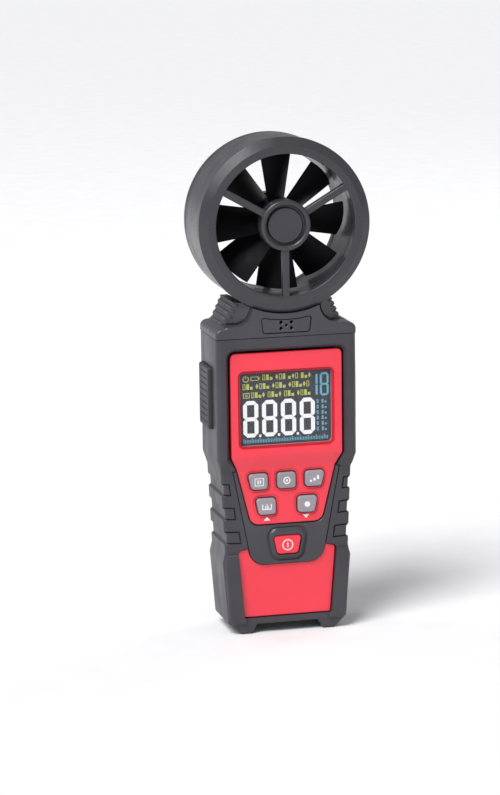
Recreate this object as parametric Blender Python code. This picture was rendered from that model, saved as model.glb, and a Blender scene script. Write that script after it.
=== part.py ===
"""Handheld vane weather meter, an assembly of separate pieces.

Metres, +Z up. The meter stands on the two feet of its rubber bumper at z = 0, and its keys and
display face -Y. The fan head is on top, with the fan's shaft along Y. x = 0 is the middle.
"""

import math

import bmesh
import bpy

MM = 0.001

# Clearances
GAP = 0.3 * MM  # between two pieces that touch on the real meter
RUNNING_GAP = 1.1 * MM  # between the blade tips and the duct
SHAFT_CLEARANCE = 0.06 * MM  # between the fan's shaft and its bearings

# Body, half widths and heights
BODY_HALF_W = 28.9 * MM
BODY_TOP_Z = 121.6 * MM
SHOULDER_Z = 72.5 * MM
WAIST_Z = 67.0 * MM
WAIST_HALF_W = 27.1 * MM
RAIL_TOP_Z = 34.2 * MM
RAIL_HALF_W = 25.7 * MM
FOOT_RECESS = 3.7 * MM
BUMPER_WALL = 3.3 * MM
CAP_H = 3.9 * MM
CAP_CORNER_R = 2.6 * MM
NECK_INSET = 4.3 * MM
NECK_RISE = 0.9 * MM
NECK_RUN = 4.3 * MM
NECK_H = 9.2 * MM
NECK_TEETH = 4
TOOTH_DEPTH = 0.7 * MM
TOOTH_W = 1.1 * MM
CAP_TOP_Z = BODY_TOP_Z + CAP_H
NECK_FOOT_HALF_W = BODY_HALF_W - NECK_INSET
NECK_TOP_HALF_W = NECK_FOOT_HALF_W - NECK_RUN
NECK_FOOT_Z = CAP_TOP_Z + NECK_RISE
NECK_TOP_Z = NECK_FOOT_Z + NECK_H

# Fan head: radii from the shaft, and places along Y (front is negative)
FAN_RISE = 44.7 * MM
FAN_Z = BODY_TOP_Z + FAN_RISE
DUCT_BORE_R = 28.3 * MM
DUCT_WALL = 1.8 * MM
DUCT_OUTER_R = 34.4 * MM
GUARD_R = DUCT_OUTER_R + 0.6 * MM
GUARD_BEVEL_R = GUARD_R - 3.5 * MM
GUARD_FRONT_Y = -16.6 * MM
GUARD_BEVEL_Y = -14.4 * MM
DUCT_FRONT_Y = -12.6 * MM
DUCT_REAR_Y = 12.2 * MM
REAR_GUARD_Y = 15.0 * MM
SPOKES = 3
SPOKE_W = 2.8 * MM
SPOKE_DEPTH = 3.6 * MM
HUB_R = 10.2 * MM
HUB_RIM_Y = -17.0 * MM
HUB_REAR_Y = -11.0 * MM
CAP_R = HUB_R - 3.0 * MM
CAP_T = 1.4 * MM
LUG_W = 17.0 * MM
LUG_H = 5.0 * MM
LUG_DEPTH = 12.0 * MM

# Turning parts
ROTOR_R = HUB_R - 0.6 * MM
ROTOR_HALF = 8.2 * MM
ROTOR_WALL = 1.5 * MM
BLADES = 8
BLADE_T = 1.2 * MM
BLADE_AXIAL = 10.0 * MM
BLADE_ROOT_W = 8.6 * MM
BLADE_TIP_W = 14.3 * MM
SHAFT_R = 1.0 * MM
BEARING_R = 2.0 * MM
BEARING_LENGTH = 2.4 * MM

# Body, places along Y
FRAME_Y = -15.6 * MM
NECK_Y = -15.5 * MM
DISPLAY_Y = -14.3 * MM
KEYPAD_Y = -12.0 * MM
POWER_PANEL_Y = -12.7 * MM
LOWER_PANEL_Y = -11.8 * MM
GRIP_Y = -12.6 * MM
RAIL_Y = -13.8 * MM
PANEL_T = 1.5 * MM
CASE_Y = -10.2 * MM
CASE_WALL = 1.6 * MM
BUMPER_REAR_Y = 12.0 * MM
CASE_REAR_Y = 17.0 * MM
NECK_REAR_Y = 13.4 * MM
BOARD_Y = -7.15 * MM
BOARD_T = 1.6 * MM
BOARD_HALF_W = 21.4 * MM

# Core outline: the hard case inside the bumper, right half, from the bottom up
CORE_FOOT_Z = 6.2 * MM
CORE = [
    (RAIL_HALF_W - BUMPER_WALL - 3.6 * MM, CORE_FOOT_Z),
    (RAIL_HALF_W - BUMPER_WALL - 0.5 * MM, CORE_FOOT_Z + 3.0 * MM),
    (RAIL_HALF_W - BUMPER_WALL + 0.1 * MM, RAIL_TOP_Z),
    (WAIST_HALF_W - BUMPER_WALL - 0.5 * MM, WAIST_Z - 0.5 * MM),
    (BODY_HALF_W - BUMPER_WALL, SHOULDER_Z + 0.5 * MM),
    (BODY_HALF_W - BUMPER_WALL, BODY_TOP_Z + GAP),
]

# Front panels, right half, from the bottom up
DISPLAY_HALF_W = 23.0 * MM
DISPLAY_TOP_Z = BODY_TOP_Z - 6.0 * MM
SLOPE_TOP_Z = SHOULDER_Z + 1.0 * MM
SLOPE_FOOT_Z = WAIST_Z + 1.0 * MM
KEYPAD_TOP_HALF_W = 20.3 * MM
KEYPAD_FOOT_HALF_W = 14.6 * MM
KEYPAD_FOOT_Z = 45.1 * MM
U_TOP_HALF_W = 22.0 * MM
U_TOP_Z = SLOPE_FOOT_Z - 0.6 * MM
U_FOOT_HALF_W = 14.6 * MM
U_FOOT_Z = 28.4 * MM
LOWER_TOP_HALF_W = 20.3 * MM
LOWER_TOP_Z = 34.6 * MM
LOWER_FOOT_HALF_W = 18.0 * MM
LOWER_FOOT_Z = 6.8 * MM
FRAME_BEVEL = 1.6 * MM

# Display
WINDOW_HALF_W = 18.6 * MM
WINDOW_Z = (78.0 * MM, 107.0 * MM)
BOARD_TOP_Z = WINDOW_Z[1] + 4.4 * MM
WINDOW_BEVEL = 0.7 * MM
WINDOW_T = 0.9 * MM
WINDOW_Y = -13.5 * MM
GLASS_T = 2.0 * MM
BACKLIGHT_T = 2.0 * MM
HOLDER_WALL = 2.6 * MM

# Keys: (name, inner x, outer x at the top, outer x at the foot, foot z, top z)
KEY_PROUD = 1.3 * MM
KEY_FLANGE = 0.9 * MM
KEYS = [
    ("key_hold", -7.8, -16.0, -14.4, 59.6, 66.0),
    ("key_set", -3.8, 3.8, 3.8, 59.5, 66.0),
    ("key_function", 7.8, 16.0, 14.4, 59.6, 66.0),
    ("key_unit", -4.6, -12.9, -11.5, 49.1, 55.8),
    ("key_record", 4.6, 12.9, 11.5, 49.1, 55.8),
]
POWER_KEY_TOP_HALF_W = 6.0 * MM
POWER_KEY_FOOT_HALF_W = 4.4 * MM
POWER_KEY_Z = (32.5 * MM, 40.2 * MM)
POWER_BEZEL = 1.9 * MM
POWER_BEZEL_LIP = 0.7 * MM
POWER_BEZEL_PROUD = 0.9 * MM
POWER_KEY_PROUD = 0.8 * MM

# Batteries: three AAA cells side by side
CELL_R = 5.25 * MM
CELL_LENGTH = 44.5 * MM
CELL_GAP = 0.8 * MM
CELL_PITCH = 2 * CELL_R + CELL_GAP
SPRING_H = 4.6 * MM
CONTACT_ROOM = 3.3 * MM
BAY_FOOT_Z = 10.0 * MM
BAY_SIDE_GAP = 1.05 * MM
BAY_FLOOR_GAP = 0.55 * MM
BAY_WALL = 1.4 * MM
CELL_FOOT_Z = BAY_FOOT_Z + SPRING_H
CELL_TOP_Z = CELL_FOOT_Z + CELL_LENGTH
BAY_TOP_Z = CELL_TOP_Z + CONTACT_ROOM
BAY_HALF_W = CELL_PITCH + CELL_R + BAY_SIDE_GAP
DOOR_T = 1.8 * MM
DOOR_LEDGE = 1.4 * MM
DOOR_HALF_W = BAY_HALF_W + DOOR_LEDGE
DOOR_Z = (BAY_FOOT_Z - 1.0 * MM, BAY_TOP_Z + 3.6 * MM)
DOOR_TAB = 2.4 * MM
DOOR_TAB_X = 7.5 * MM
DOOR_TAB_W = 5.0 * MM
DOOR_TAB_T = 1.4 * MM
DOOR_TAB_STEP = 0.2 * MM
CELL_DOOR_GAP = 0.95 * MM
CELL_Y = CASE_REAR_Y - DOOR_T - CELL_DOOR_GAP - CELL_R
BAY_FLOOR_Y = CELL_Y - CELL_R - BAY_FLOOR_GAP

# Tripod socket and case screws
SOCKET_Z = 92.0 * MM
SOCKET_BORE_R = 3.2 * MM
SOCKET_R = 5.2 * MM
SOCKET_LENGTH = 8.0 * MM
SCREW_TOP = (BODY_HALF_W - 8.0 * MM, BODY_TOP_Z - 4.8 * MM)
SCREW_LOW = (WAIST_HALF_W - 6.5 * MM, SHOULDER_Z - 1.5 * MM)
SCREW_SEAT_DEPTH = 4.0 * MM
SCREW_HEAD_R = 2.3 * MM
SCREW_R = 1.1 * MM
SCREW_SEAT_Y = CASE_REAR_Y - SCREW_SEAT_DEPTH
SCREW_HEAD_T = 1.7 * MM
SCREW_BOSS_R = 3.4 * MM

# Side pads
PAD_Z = (84.5 * MM, 109.5 * MM)
PAD_PROUD = 1.8 * MM
PAD_SINK = 1.2 * MM
PAD_HALF_DEPTH = 8.0 * MM

ROUND = 64  # facets of a large round piece
SMALL_ROUND = 20


# ---------------------------------------------------------------- materials


def material(name, colour, roughness, metallic=0.0, alpha=1.0):
    made = bpy.data.materials.new(name)
    made.use_nodes = True
    shader = made.node_tree.nodes["Principled BSDF"]
    shader.inputs["Base Color"].default_value = (*colour, 1.0)
    shader.inputs["Roughness"].default_value = roughness
    shader.inputs["Metallic"].default_value = metallic
    shader.inputs["Alpha"].default_value = alpha
    made.diffuse_color = (*colour, alpha)
    return made


for scene_object in list(bpy.data.objects):
    bpy.data.objects.remove(scene_object, do_unlink=True)

BLACK_RUBBER = material("black_rubber", (0.045, 0.046, 0.052), 0.62)
GREY_PLASTIC = material("grey_plastic", (0.06, 0.06, 0.068), 0.5)
RED_PLASTIC = material("red_plastic", (0.78, 0.02, 0.06), 0.42)
BLADE_PLASTIC = material("blade_plastic", (0.008, 0.008, 0.01), 0.35)
KEY_RUBBER = material("key_rubber", (0.32, 0.3, 0.33), 0.55)
CLEAR_PLASTIC = material("clear_plastic", (0.6, 0.62, 0.66), 0.08, alpha=0.3)
LCD_GLASS = material("lcd_glass", (0.02, 0.03, 0.05), 0.1)
WHITE_PLASTIC = material("white_plastic", (0.8, 0.8, 0.78), 0.4)
BOARD_GREEN = material("board_green", (0.02, 0.16, 0.07), 0.45)
CHIP_BLACK = material("chip_black", (0.02, 0.02, 0.022), 0.5)
STEEL = material("steel", (0.6, 0.6, 0.62), 0.28, metallic=1.0)
BRASS = material("brass", (0.72, 0.52, 0.2), 0.3, metallic=1.0)
FERRITE = material("ferrite", (0.05, 0.05, 0.055), 0.6, metallic=0.4)
CELL_WRAP = material("cell_wrap", (0.12, 0.2, 0.34), 0.35, metallic=0.2)
CABLE_SLEEVE = material("cable_sleeve", (0.02, 0.02, 0.02), 0.5)
SILICONE = material("silicone", (0.28, 0.27, 0.29), 0.7)


# ------------------------------------------------------------------ outlines


def mm(points):
    return [(x * MM, z * MM) for x, z in points]


def symmetric(right_half):
    """A closed outline from its right half, which runs upwards from the bottom."""
    left = [(-x, z) for x, z in reversed(right_half) if x > 1e-9]
    return list(right_half) + left


def box_outline(x0, z0, x1, z1):
    return [(x0, z0), (x1, z0), (x1, z1), (x0, z1)]


def rounded(points, radii, steps=3):
    """The outline with an arc at each corner. radii is one radius, or one for each corner."""
    count = len(points)
    radii = [radii] * count if isinstance(radii, float) else radii
    made = []
    for i, (corner, radius) in enumerate(zip(points, radii)):
        before, after = points[i - 1], points[(i + 1) % count]
        a = (before[0] - corner[0], before[1] - corner[1])
        b = (after[0] - corner[0], after[1] - corner[1])
        la, lb = math.hypot(*a), math.hypot(*b)
        a, b = (a[0] / la, a[1] / la), (b[0] / lb, b[1] / lb)
        half = math.acos(max(-1.0, min(1.0, a[0] * b[0] + a[1] * b[1]))) / 2
        if radius <= 0 or half > math.radians(88):
            made.append(corner)
            continue
        reach = min(radius / math.tan(half), 0.48 * la, 0.48 * lb)
        radius = reach * math.tan(half)
        middle = (a[0] + b[0], a[1] + b[1])
        size = math.hypot(*middle)
        away = radius / math.sin(half)
        centre = (corner[0] + middle[0] / size * away, corner[1] + middle[1] / size * away)
        start = (corner[0] + a[0] * reach - centre[0], corner[1] + a[1] * reach - centre[1])
        end = (corner[0] + b[0] * reach - centre[0], corner[1] + b[1] * reach - centre[1])
        first = math.atan2(start[1], start[0])
        turn = math.remainder(math.atan2(end[1], end[0]) - first, 2 * math.pi)
        for k in range(steps + 1):
            angle = first + turn * k / steps
            made.append((centre[0] + radius * math.cos(angle), centre[1] + radius * math.sin(angle)))
    return made


def grown(points, by):
    """The anticlockwise outline moved outwards by that much, or inwards where it is negative."""
    made = []
    for i, (x, z) in enumerate(points):
        before, after = points[i - 1], points[(i + 1) % len(points)]
        a = (x - before[0], z - before[1])
        b = (after[0] - x, after[1] - z)
        la, lb = math.hypot(*a), math.hypot(*b)
        na, nb = (a[1] / la, -a[0] / la), (b[1] / lb, -b[0] / lb)
        scale = by / (1 + na[0] * nb[0] + na[1] * nb[1])
        made.append((x + (na[0] + nb[0]) * scale, z + (na[1] + nb[1]) * scale))
    return made


def circle(x, z, radius, count=SMALL_ROUND):
    turn = 2 * math.pi / count
    return [(x + radius * math.cos(turn * k), z + radius * math.sin(turn * k)) for k in range(count)]


# ------------------------------------------------------------------- solids


def solid(name, points, faces, look):
    """A closed mesh object whose faces point out."""
    mesh = bpy.data.meshes.new(name)
    mesh.from_pydata(points, [], faces)
    body = bmesh.new()
    body.from_mesh(mesh)
    bmesh.ops.remove_doubles(body, verts=body.verts, dist=1e-7)
    bmesh.ops.recalc_face_normals(body, faces=body.faces)
    body.to_mesh(mesh)
    body.free()
    made = bpy.data.objects.new(name, mesh)
    bpy.context.scene.collection.objects.link(made)
    if look is None:
        made.hide_render = True
        made.display_type = "WIRE"
    else:
        mesh.materials.append(look)
    return made


def loft(name, levels, look):
    """A solid through outlines in X and Z, each at its own y: levels is [(y, outline), ...]."""
    count = len(levels[0][1])
    points = [(x, y, z) for y, outline in levels for x, z in outline]
    faces = [tuple(range(count)), tuple(range(len(points) - 1, len(points) - 1 - count, -1))]
    for level in range(len(levels) - 1):
        low = level * count
        for k in range(count):
            n = (k + 1) % count
            faces.append((low + k, low + n, low + count + n, low + count + k))
    return solid(name, points, faces, look)


def plate(name, outline, y0, y1, look, bevel=0.0, rear_bevel=0.0):
    """A flat piece from y0 back to y1, with its front and rear edges chamfered."""
    levels = [(y0, grown(outline, -bevel))] if bevel else []
    levels.append((y0 + bevel, outline))
    levels.append((y1 - rear_bevel, outline))
    if rear_bevel:
        levels.append((y1, grown(outline, -rear_bevel)))
    return loft(name, levels, look)


def side_profile(name, profile, half_w, look):
    """A solid whose section in Y and Z is the same from -half_w to half_w in X."""
    count = len(profile)
    points = [(x, y, z) for x in (-half_w, half_w) for y, z in profile]
    faces = [tuple(range(count)), tuple(range(2 * count - 1, count - 1, -1))]
    faces += [(k, (k + 1) % count, count + (k + 1) % count, count + k) for k in range(count)]
    return solid(name, points, faces, look)


def turned(name, profile, look, x=0.0, z=FAN_Z, count=ROUND):
    """A solid turned about a line along Y. profile is [(radius, y), ...], closed on itself."""
    points, rows = [], []
    for radius, y in profile:
        if radius < 1e-9:
            rows.append([len(points)] * count)
            points.append((x, y, z))
            continue
        rows.append(list(range(len(points), len(points) + count)))
        points += [(px, y, pz) for px, pz in circle(x, z, radius, count)]
    faces = []
    for row, after in zip(rows, rows[1:] + rows[:1]):
        for k in range(count):
            n = (k + 1) % count
            corners = list(dict.fromkeys((row[k], row[n], after[n], after[k])))
            if len(corners) > 2:
                faces.append(tuple(corners))
    made = solid(name, points, faces, look)
    if look is not None:
        made.data.shade_smooth()
        made.data.set_sharp_from_angle(angle=math.radians(35))
    return made


def boolean(target, tool, operation):
    modifier = target.modifiers.new(f"{operation.lower()} {tool.name}", "BOOLEAN")
    modifier.operation = operation
    modifier.object = tool


def cut(target, *tools):
    for tool in tools:
        boolean(target, tool, "DIFFERENCE")


def join(target, *tools):
    for tool in tools:
        boolean(target, tool, "UNION")


# ------------------------------------------------------------ shared outlines

core = rounded(symmetric(CORE), 2.0 * MM, 2)
core_room = grown(core, GAP)

display_outline = rounded(
    symmetric(
        [
            (KEYPAD_FOOT_HALF_W, KEYPAD_FOOT_Z),
            (KEYPAD_TOP_HALF_W, SLOPE_FOOT_Z),
            (DISPLAY_HALF_W, SLOPE_TOP_Z),
            (DISPLAY_HALF_W, DISPLAY_TOP_Z),
        ]
    ),
    [4.0 * MM, 0.0, 0.0, 2.0 * MM, 2.0 * MM, 0.0, 0.0, 4.0 * MM],
    4,
)
u_outline = rounded(
    symmetric([(U_FOOT_HALF_W, U_FOOT_Z), (U_TOP_HALF_W, U_TOP_Z)]),
    [6.5 * MM, 0.0, 0.0, 6.5 * MM],
    5,
)
lower_outline = symmetric(
    [
        (LOWER_FOOT_HALF_W, LOWER_FOOT_Z),
        (LOWER_TOP_HALF_W, LOWER_TOP_Z - 0.9 * MM),
        (LOWER_TOP_HALF_W - 0.8 * MM, LOWER_TOP_Z),
        (U_FOOT_HALF_W, LOWER_TOP_Z + 1.1 * MM),
    ]
)
window_outline = rounded(
    box_outline(-WINDOW_HALF_W, WINDOW_Z[0], WINDOW_HALF_W, WINDOW_Z[1]), 1.0 * MM, 3
)
power_key_outline = rounded(
    symmetric(
        [
            (POWER_KEY_FOOT_HALF_W, POWER_KEY_Z[0]),
            (POWER_KEY_TOP_HALF_W, POWER_KEY_Z[1]),
        ]
    ),
    1.5 * MM,
    3,
)


def key_outline(inner, outer_top, outer_foot, foot, top):
    corners = mm([(inner, foot), (outer_foot, foot), (outer_top, top), (inner, top)])
    if outer_top < inner:
        corners.reverse()
    return rounded(corners, 1.2 * MM, 3)


key_outlines = {name: key_outline(*sizes) for name, *sizes in KEYS}
key_outlines["key_power"] = power_key_outline


# ------------------------------------------------------------------ fan head


def spokes(name, r0, r1, y0, y1):
    """The spokes of a guard, the first straight down, as one cutter-like tool for each."""
    made = []
    for k in range(SPOKES):
        angle = -math.pi / 2 + 2 * math.pi * k / SPOKES
        along = (math.cos(angle), math.sin(angle))
        across = (-along[1] * SPOKE_W / 2, along[0] * SPOKE_W / 2)
        outline = [
            (along[0] * r + across[0] * s, FAN_Z + along[1] * r + across[1] * s)
            for r, s in ((r0, -1), (r1, -1), (r1, 1), (r0, 1))
        ]
        made.append(plate(f"{name}_spoke_{k}", outline, y0, y1, None))
    return made


front_guard = turned(
    "front_guard",
    [
        (DUCT_BORE_R, DUCT_FRONT_Y - GAP),
        (DUCT_BORE_R, GUARD_FRONT_Y + 0.5 * MM),
        (DUCT_BORE_R + 0.5 * MM, GUARD_FRONT_Y),
        (GUARD_BEVEL_R, GUARD_FRONT_Y),
        (GUARD_R, GUARD_BEVEL_Y),
        (GUARD_R, DUCT_FRONT_Y - GAP),
    ],
    GREY_PLASTIC,
)
front_hub = turned(
    "front_guard_hub",
    [
        (0, HUB_RIM_Y + CAP_T + 1.4 * MM),
        (CAP_R + GAP, HUB_RIM_Y + CAP_T + 1.4 * MM),
        (CAP_R + GAP, HUB_RIM_Y + 0.7 * MM),
        (HUB_R - 2.0 * MM, HUB_RIM_Y),
        (HUB_R - 0.8 * MM, HUB_RIM_Y),
        (HUB_R, HUB_RIM_Y + 0.8 * MM),
        (HUB_R, HUB_REAR_Y),
        (BEARING_R + GAP, HUB_REAR_Y),
        (BEARING_R + GAP, HUB_REAR_Y - BEARING_LENGTH - GAP),
        (0, HUB_REAR_Y - BEARING_LENGTH - GAP),
    ],
    None,
    count=40,
)
front_spoke_y = GUARD_FRONT_Y + 0.3 * MM
join(
    front_guard,
    *spokes(
        "front_guard",
        HUB_R - 1.5 * MM,
        DUCT_BORE_R + 1.5 * MM,
        front_spoke_y,
        front_spoke_y + SPOKE_DEPTH,
    ),
    front_hub,
)

turned(
    "hub_cap",
    [
        (0, HUB_RIM_Y + 1.0 * MM),
        (CAP_R - 0.4 * MM, HUB_RIM_Y + 1.0 * MM),
        (CAP_R, HUB_RIM_Y + 1.4 * MM),
        (CAP_R, HUB_RIM_Y + 1.0 * MM + CAP_T),
        (0, HUB_RIM_Y + 1.0 * MM + CAP_T),
    ],
    GREY_PLASTIC,
    count=40,
)

fan_duct = turned(
    "fan_duct",
    [
        (DUCT_BORE_R, DUCT_FRONT_Y),
        (DUCT_BORE_R + DUCT_WALL, DUCT_FRONT_Y),
        (DUCT_BORE_R + DUCT_WALL, DUCT_REAR_Y - DUCT_WALL),
        (DUCT_OUTER_R - DUCT_WALL, DUCT_REAR_Y - DUCT_WALL),
        (DUCT_OUTER_R - DUCT_WALL, DUCT_FRONT_Y),
        (DUCT_OUTER_R, DUCT_FRONT_Y),
        (DUCT_OUTER_R, DUCT_REAR_Y),
        (DUCT_BORE_R, DUCT_REAR_Y),
    ],
    GREY_PLASTIC,
)
lug_top_z = FAN_Z - DUCT_OUTER_R + 1.0 * MM
lug_foot_z = FAN_Z - DUCT_OUTER_R - LUG_H
join(
    fan_duct,
    plate(
        "fan_duct_lug",
        box_outline(-LUG_W / 2, lug_foot_z, LUG_W / 2, lug_top_z),
        -LUG_DEPTH / 2,
        LUG_DEPTH / 2,
        None,
    ),
)

rear_guard = turned(
    "rear_guard",
    [
        (DUCT_BORE_R, DUCT_REAR_Y + GAP),
        (DUCT_OUTER_R, DUCT_REAR_Y + GAP),
        (DUCT_OUTER_R, REAR_GUARD_Y - 1.4 * MM),
        (DUCT_OUTER_R - 1.4 * MM, REAR_GUARD_Y),
        (DUCT_BORE_R + 0.5 * MM, REAR_GUARD_Y),
        (DUCT_BORE_R, REAR_GUARD_Y - 0.5 * MM),
    ],
    GREY_PLASTIC,
)
rear_hub_y = REAR_GUARD_Y - 5.6 * MM
rear_hub = turned(
    "rear_guard_hub",
    [
        (0, rear_hub_y + BEARING_LENGTH + GAP),
        (BEARING_R + GAP, rear_hub_y + BEARING_LENGTH + GAP),
        (BEARING_R + GAP, rear_hub_y),
        (BEARING_R + 1.2 * MM, rear_hub_y),
        (BEARING_R + 1.2 * MM, rear_hub_y + 2.0 * MM),
        (HUB_R - 1.3 * MM, rear_hub_y + 2.0 * MM),
        (HUB_R - 1.3 * MM, rear_hub_y),
        (HUB_R, rear_hub_y),
        (HUB_R, REAR_GUARD_Y - 0.2 * MM),
        (HUB_R - 0.6 * MM, REAR_GUARD_Y + 0.4 * MM),
        (0, REAR_GUARD_Y + 0.4 * MM),
    ],
    None,
    count=40,
)
rear_spoke_y = REAR_GUARD_Y - 0.3 * MM
join(
    rear_guard,
    *spokes("rear_guard", HUB_R - 1.1 * MM, DUCT_BORE_R + 1.5 * MM, rear_spoke_y - 2.2 * MM, rear_spoke_y),
    rear_hub,
)

turned(
    "hall_board",
    [
        (BEARING_R + 1.6 * MM, rear_hub_y + 0.7 * MM),
        (HUB_R - 1.7 * MM, rear_hub_y + 0.7 * MM),
        (HUB_R - 1.7 * MM, rear_hub_y + 1.6 * MM),
        (BEARING_R + 1.6 * MM, rear_hub_y + 1.6 * MM),
    ],
    BOARD_GREEN,
    count=SMALL_ROUND,
)

rotor_y = (HUB_REAR_Y + rear_hub_y) / 2


def bearing(name, y0):
    turned(
        name,
        [
            (SHAFT_R + SHAFT_CLEARANCE, y0),
            (BEARING_R, y0),
            (BEARING_R, y0 + BEARING_LENGTH),
            (SHAFT_R + SHAFT_CLEARANCE, y0 + BEARING_LENGTH),
        ],
        BRASS,
        count=SMALL_ROUND,
    )


bearing("front_bearing", HUB_REAR_Y - BEARING_LENGTH)
bearing("rear_bearing", rear_hub_y)

shaft_front_y = HUB_REAR_Y - BEARING_LENGTH + 0.2 * MM
shaft_rear_y = rear_hub_y + BEARING_LENGTH - 0.2 * MM
turned(
    "fan_shaft",
    [(0, shaft_front_y), (SHAFT_R, shaft_front_y), (SHAFT_R, shaft_rear_y), (0, shaft_rear_y)],
    STEEL,
    count=SMALL_ROUND,
)


def blade(name, turn):
    """One fan blade: a plate that twists from its root in the hub out to its tip."""
    sections, chord_steps = 4, 4
    tip_r = DUCT_BORE_R - RUNNING_GAP
    root_r = ROTOR_R - 0.9 * MM
    points = []
    for s in range(sections):
        share = s / (sections - 1)
        radius = root_r + (tip_r - root_r) * share
        width = BLADE_ROOT_W + (BLADE_TIP_W - BLADE_ROOT_W) * share
        pitch = math.atan2(BLADE_AXIAL, width)
        loop = []
        for side in (-1, 1):
            for k in range(chord_steps + 1):
                along = (k / chord_steps - 0.5) * -side
                tangent = along * width - side * BLADE_T / 2 * math.sin(pitch)
                axial = along * BLADE_AXIAL + side * BLADE_T / 2 * math.cos(pitch)
                angle = turn + tangent / radius
                loop.append((radius * math.cos(angle), rotor_y + axial, FAN_Z + radius * math.sin(angle)))
        points += loop
    count = 2 * (chord_steps + 1)
    faces = []
    for end in (0, (sections - 1) * count):
        for k in range(chord_steps):
            faces.append((end + k, end + k + 1, end + count - 2 - k, end + count - 1 - k))
    for s in range(sections - 1):
        for k in range(count):
            n = (k + 1) % count
            low = s * count
            faces.append((low + k, low + n, low + count + n, low + count + k))
    return solid(name, points, faces, None)


impeller = turned(
    "impeller",
    [
        (SHAFT_R + GAP, rotor_y - ROTOR_HALF),
        (ROTOR_R - 0.6 * MM, rotor_y - ROTOR_HALF),
        (ROTOR_R, rotor_y - ROTOR_HALF + 0.6 * MM),
        (ROTOR_R, rotor_y + ROTOR_HALF),
        (ROTOR_R - ROTOR_WALL, rotor_y + ROTOR_HALF),
        (ROTOR_R - ROTOR_WALL, rotor_y - ROTOR_HALF + 1.8 * MM),
        (SHAFT_R + GAP + ROTOR_WALL, rotor_y - ROTOR_HALF + 1.8 * MM),
        (SHAFT_R + GAP + ROTOR_WALL, rotor_y + ROTOR_HALF),
        (SHAFT_R + GAP, rotor_y + ROTOR_HALF),
    ],
    BLADE_PLASTIC,
    count=40,
)
join(impeller, *[blade(f"blade_{k}", math.pi / 2 + 2 * math.pi * k / BLADES) for k in range(BLADES)])

magnet_y = rotor_y + ROTOR_HALF - 3.4 * MM
turned(
    "rotor_magnet",
    [
        (SHAFT_R + ROTOR_WALL + 2 * GAP, magnet_y),
        (ROTOR_R - ROTOR_WALL - GAP, magnet_y),
        (ROTOR_R - ROTOR_WALL - GAP, magnet_y + 3.0 * MM),
        (SHAFT_R + ROTOR_WALL + 2 * GAP, magnet_y + 3.0 * MM),
    ],
    FERRITE,
    count=SMALL_ROUND,
)


# ---------------------------------------------------------------- outer case

cap_foot_z = BODY_TOP_Z + GAP
cap_outline = symmetric(
    [(BODY_HALF_W, cap_foot_z)]
    + [
        (BODY_HALF_W - CAP_CORNER_R * (1 - math.cos(a)), CAP_TOP_Z - CAP_CORNER_R * (1 - math.sin(a)))
        for a in (0.0, math.pi / 6, math.pi / 3, math.pi / 2)
    ]
    + [(NECK_FOOT_HALF_W, NECK_FOOT_Z), (NECK_TOP_HALF_W, NECK_TOP_Z)]
)


def neck_notch(side, number):
    """One of the grooves across the slant edge of the neck, which make it a finger grip."""
    run = (NECK_TOP_HALF_W - NECK_FOOT_HALF_W, NECK_TOP_Z - NECK_FOOT_Z)
    length = math.hypot(*run)
    along = (run[0] / length, run[1] / length)
    out = (along[1], -along[0])
    start = length * (number + 0.35) / NECK_TEETH
    clear = 2 * MM
    flare = 0.3 * TOOTH_W
    corners = []
    for reach, depth in (
        (start, -TOOTH_DEPTH),
        (start + TOOTH_W, -TOOTH_DEPTH),
        (start + TOOTH_W + flare, clear),
        (start - flare, clear),
    ):
        x = NECK_FOOT_HALF_W + along[0] * reach + out[0] * depth
        z = NECK_FOOT_Z + along[1] * reach + out[1] * depth
        corners.append((side * x, z))
    return plate(f"neck_notch_{side}_{number}", corners, -25 * MM, 25 * MM, None)


ring_room = turned(
    "ring_room",
    [(0, -20 * MM), (GUARD_R + GAP, -20 * MM), (GUARD_R + GAP, 20 * MM), (0, 20 * MM)],
    None,
)
lug_room_outline = box_outline(
    -LUG_W / 2 - GAP, lug_foot_z - GAP, LUG_W / 2 + GAP, lug_top_z + 2 * MM
)
lug_room = plate("lug_room", lug_room_outline, -LUG_DEPTH / 2 - GAP, LUG_DEPTH / 2 + GAP, None)


def neck_pocket(side):
    """The scooped finger recess at one side of the neck, its floor falling away outwards."""
    inner = NECK_FOOT_HALF_W - 11.4 * MM
    outline = mm([(0.0, 14.9), (0.7, 10.4), (2.2, 7.2), (5.2, 5.2), (13.3, 4.6), (13.3, 14.9)])
    outline = [(side * (inner + x), BODY_TOP_Z + z) for x, z in outline]
    count = len(outline)
    front = [(x, -20 * MM, z) for x, z in outline]
    floor = [(x, NECK_Y + 0.8 * MM + (abs(x) - inner) * 0.62, z) for x, z in outline]
    faces = [tuple(range(count)), tuple(range(2 * count - 1, count - 1, -1))]
    faces += [(k, (k + 1) % count, count + (k + 1) % count, count + k) for k in range(count)]
    return solid(f"neck_pocket_{'right' if side > 0 else 'left'}", front + floor, faces, None)


front_case = plate("front_case", core, CASE_Y, -GAP / 2, GREY_PLASTIC)
front_cap = loft(
    "front_cap",
    [
        (NECK_Y, grown(cap_outline, -0.9 * MM)),
        (NECK_Y + 1.1 * MM, cap_outline),
        (-GAP / 2, cap_outline),
    ],
    None,
)
front_cavity = plate("front_cavity", grown(core, -CASE_WALL), CASE_Y + CASE_WALL, 1 * MM, None)
neck_cavity_outline = box_outline(-15 * MM, BODY_TOP_Z - 9.6 * MM, 15 * MM, BODY_TOP_Z + 8.0 * MM)
neck_cavity = plate("neck_cavity", neck_cavity_outline, NECK_Y + 3.4 * MM, 1 * MM, None)

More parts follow.
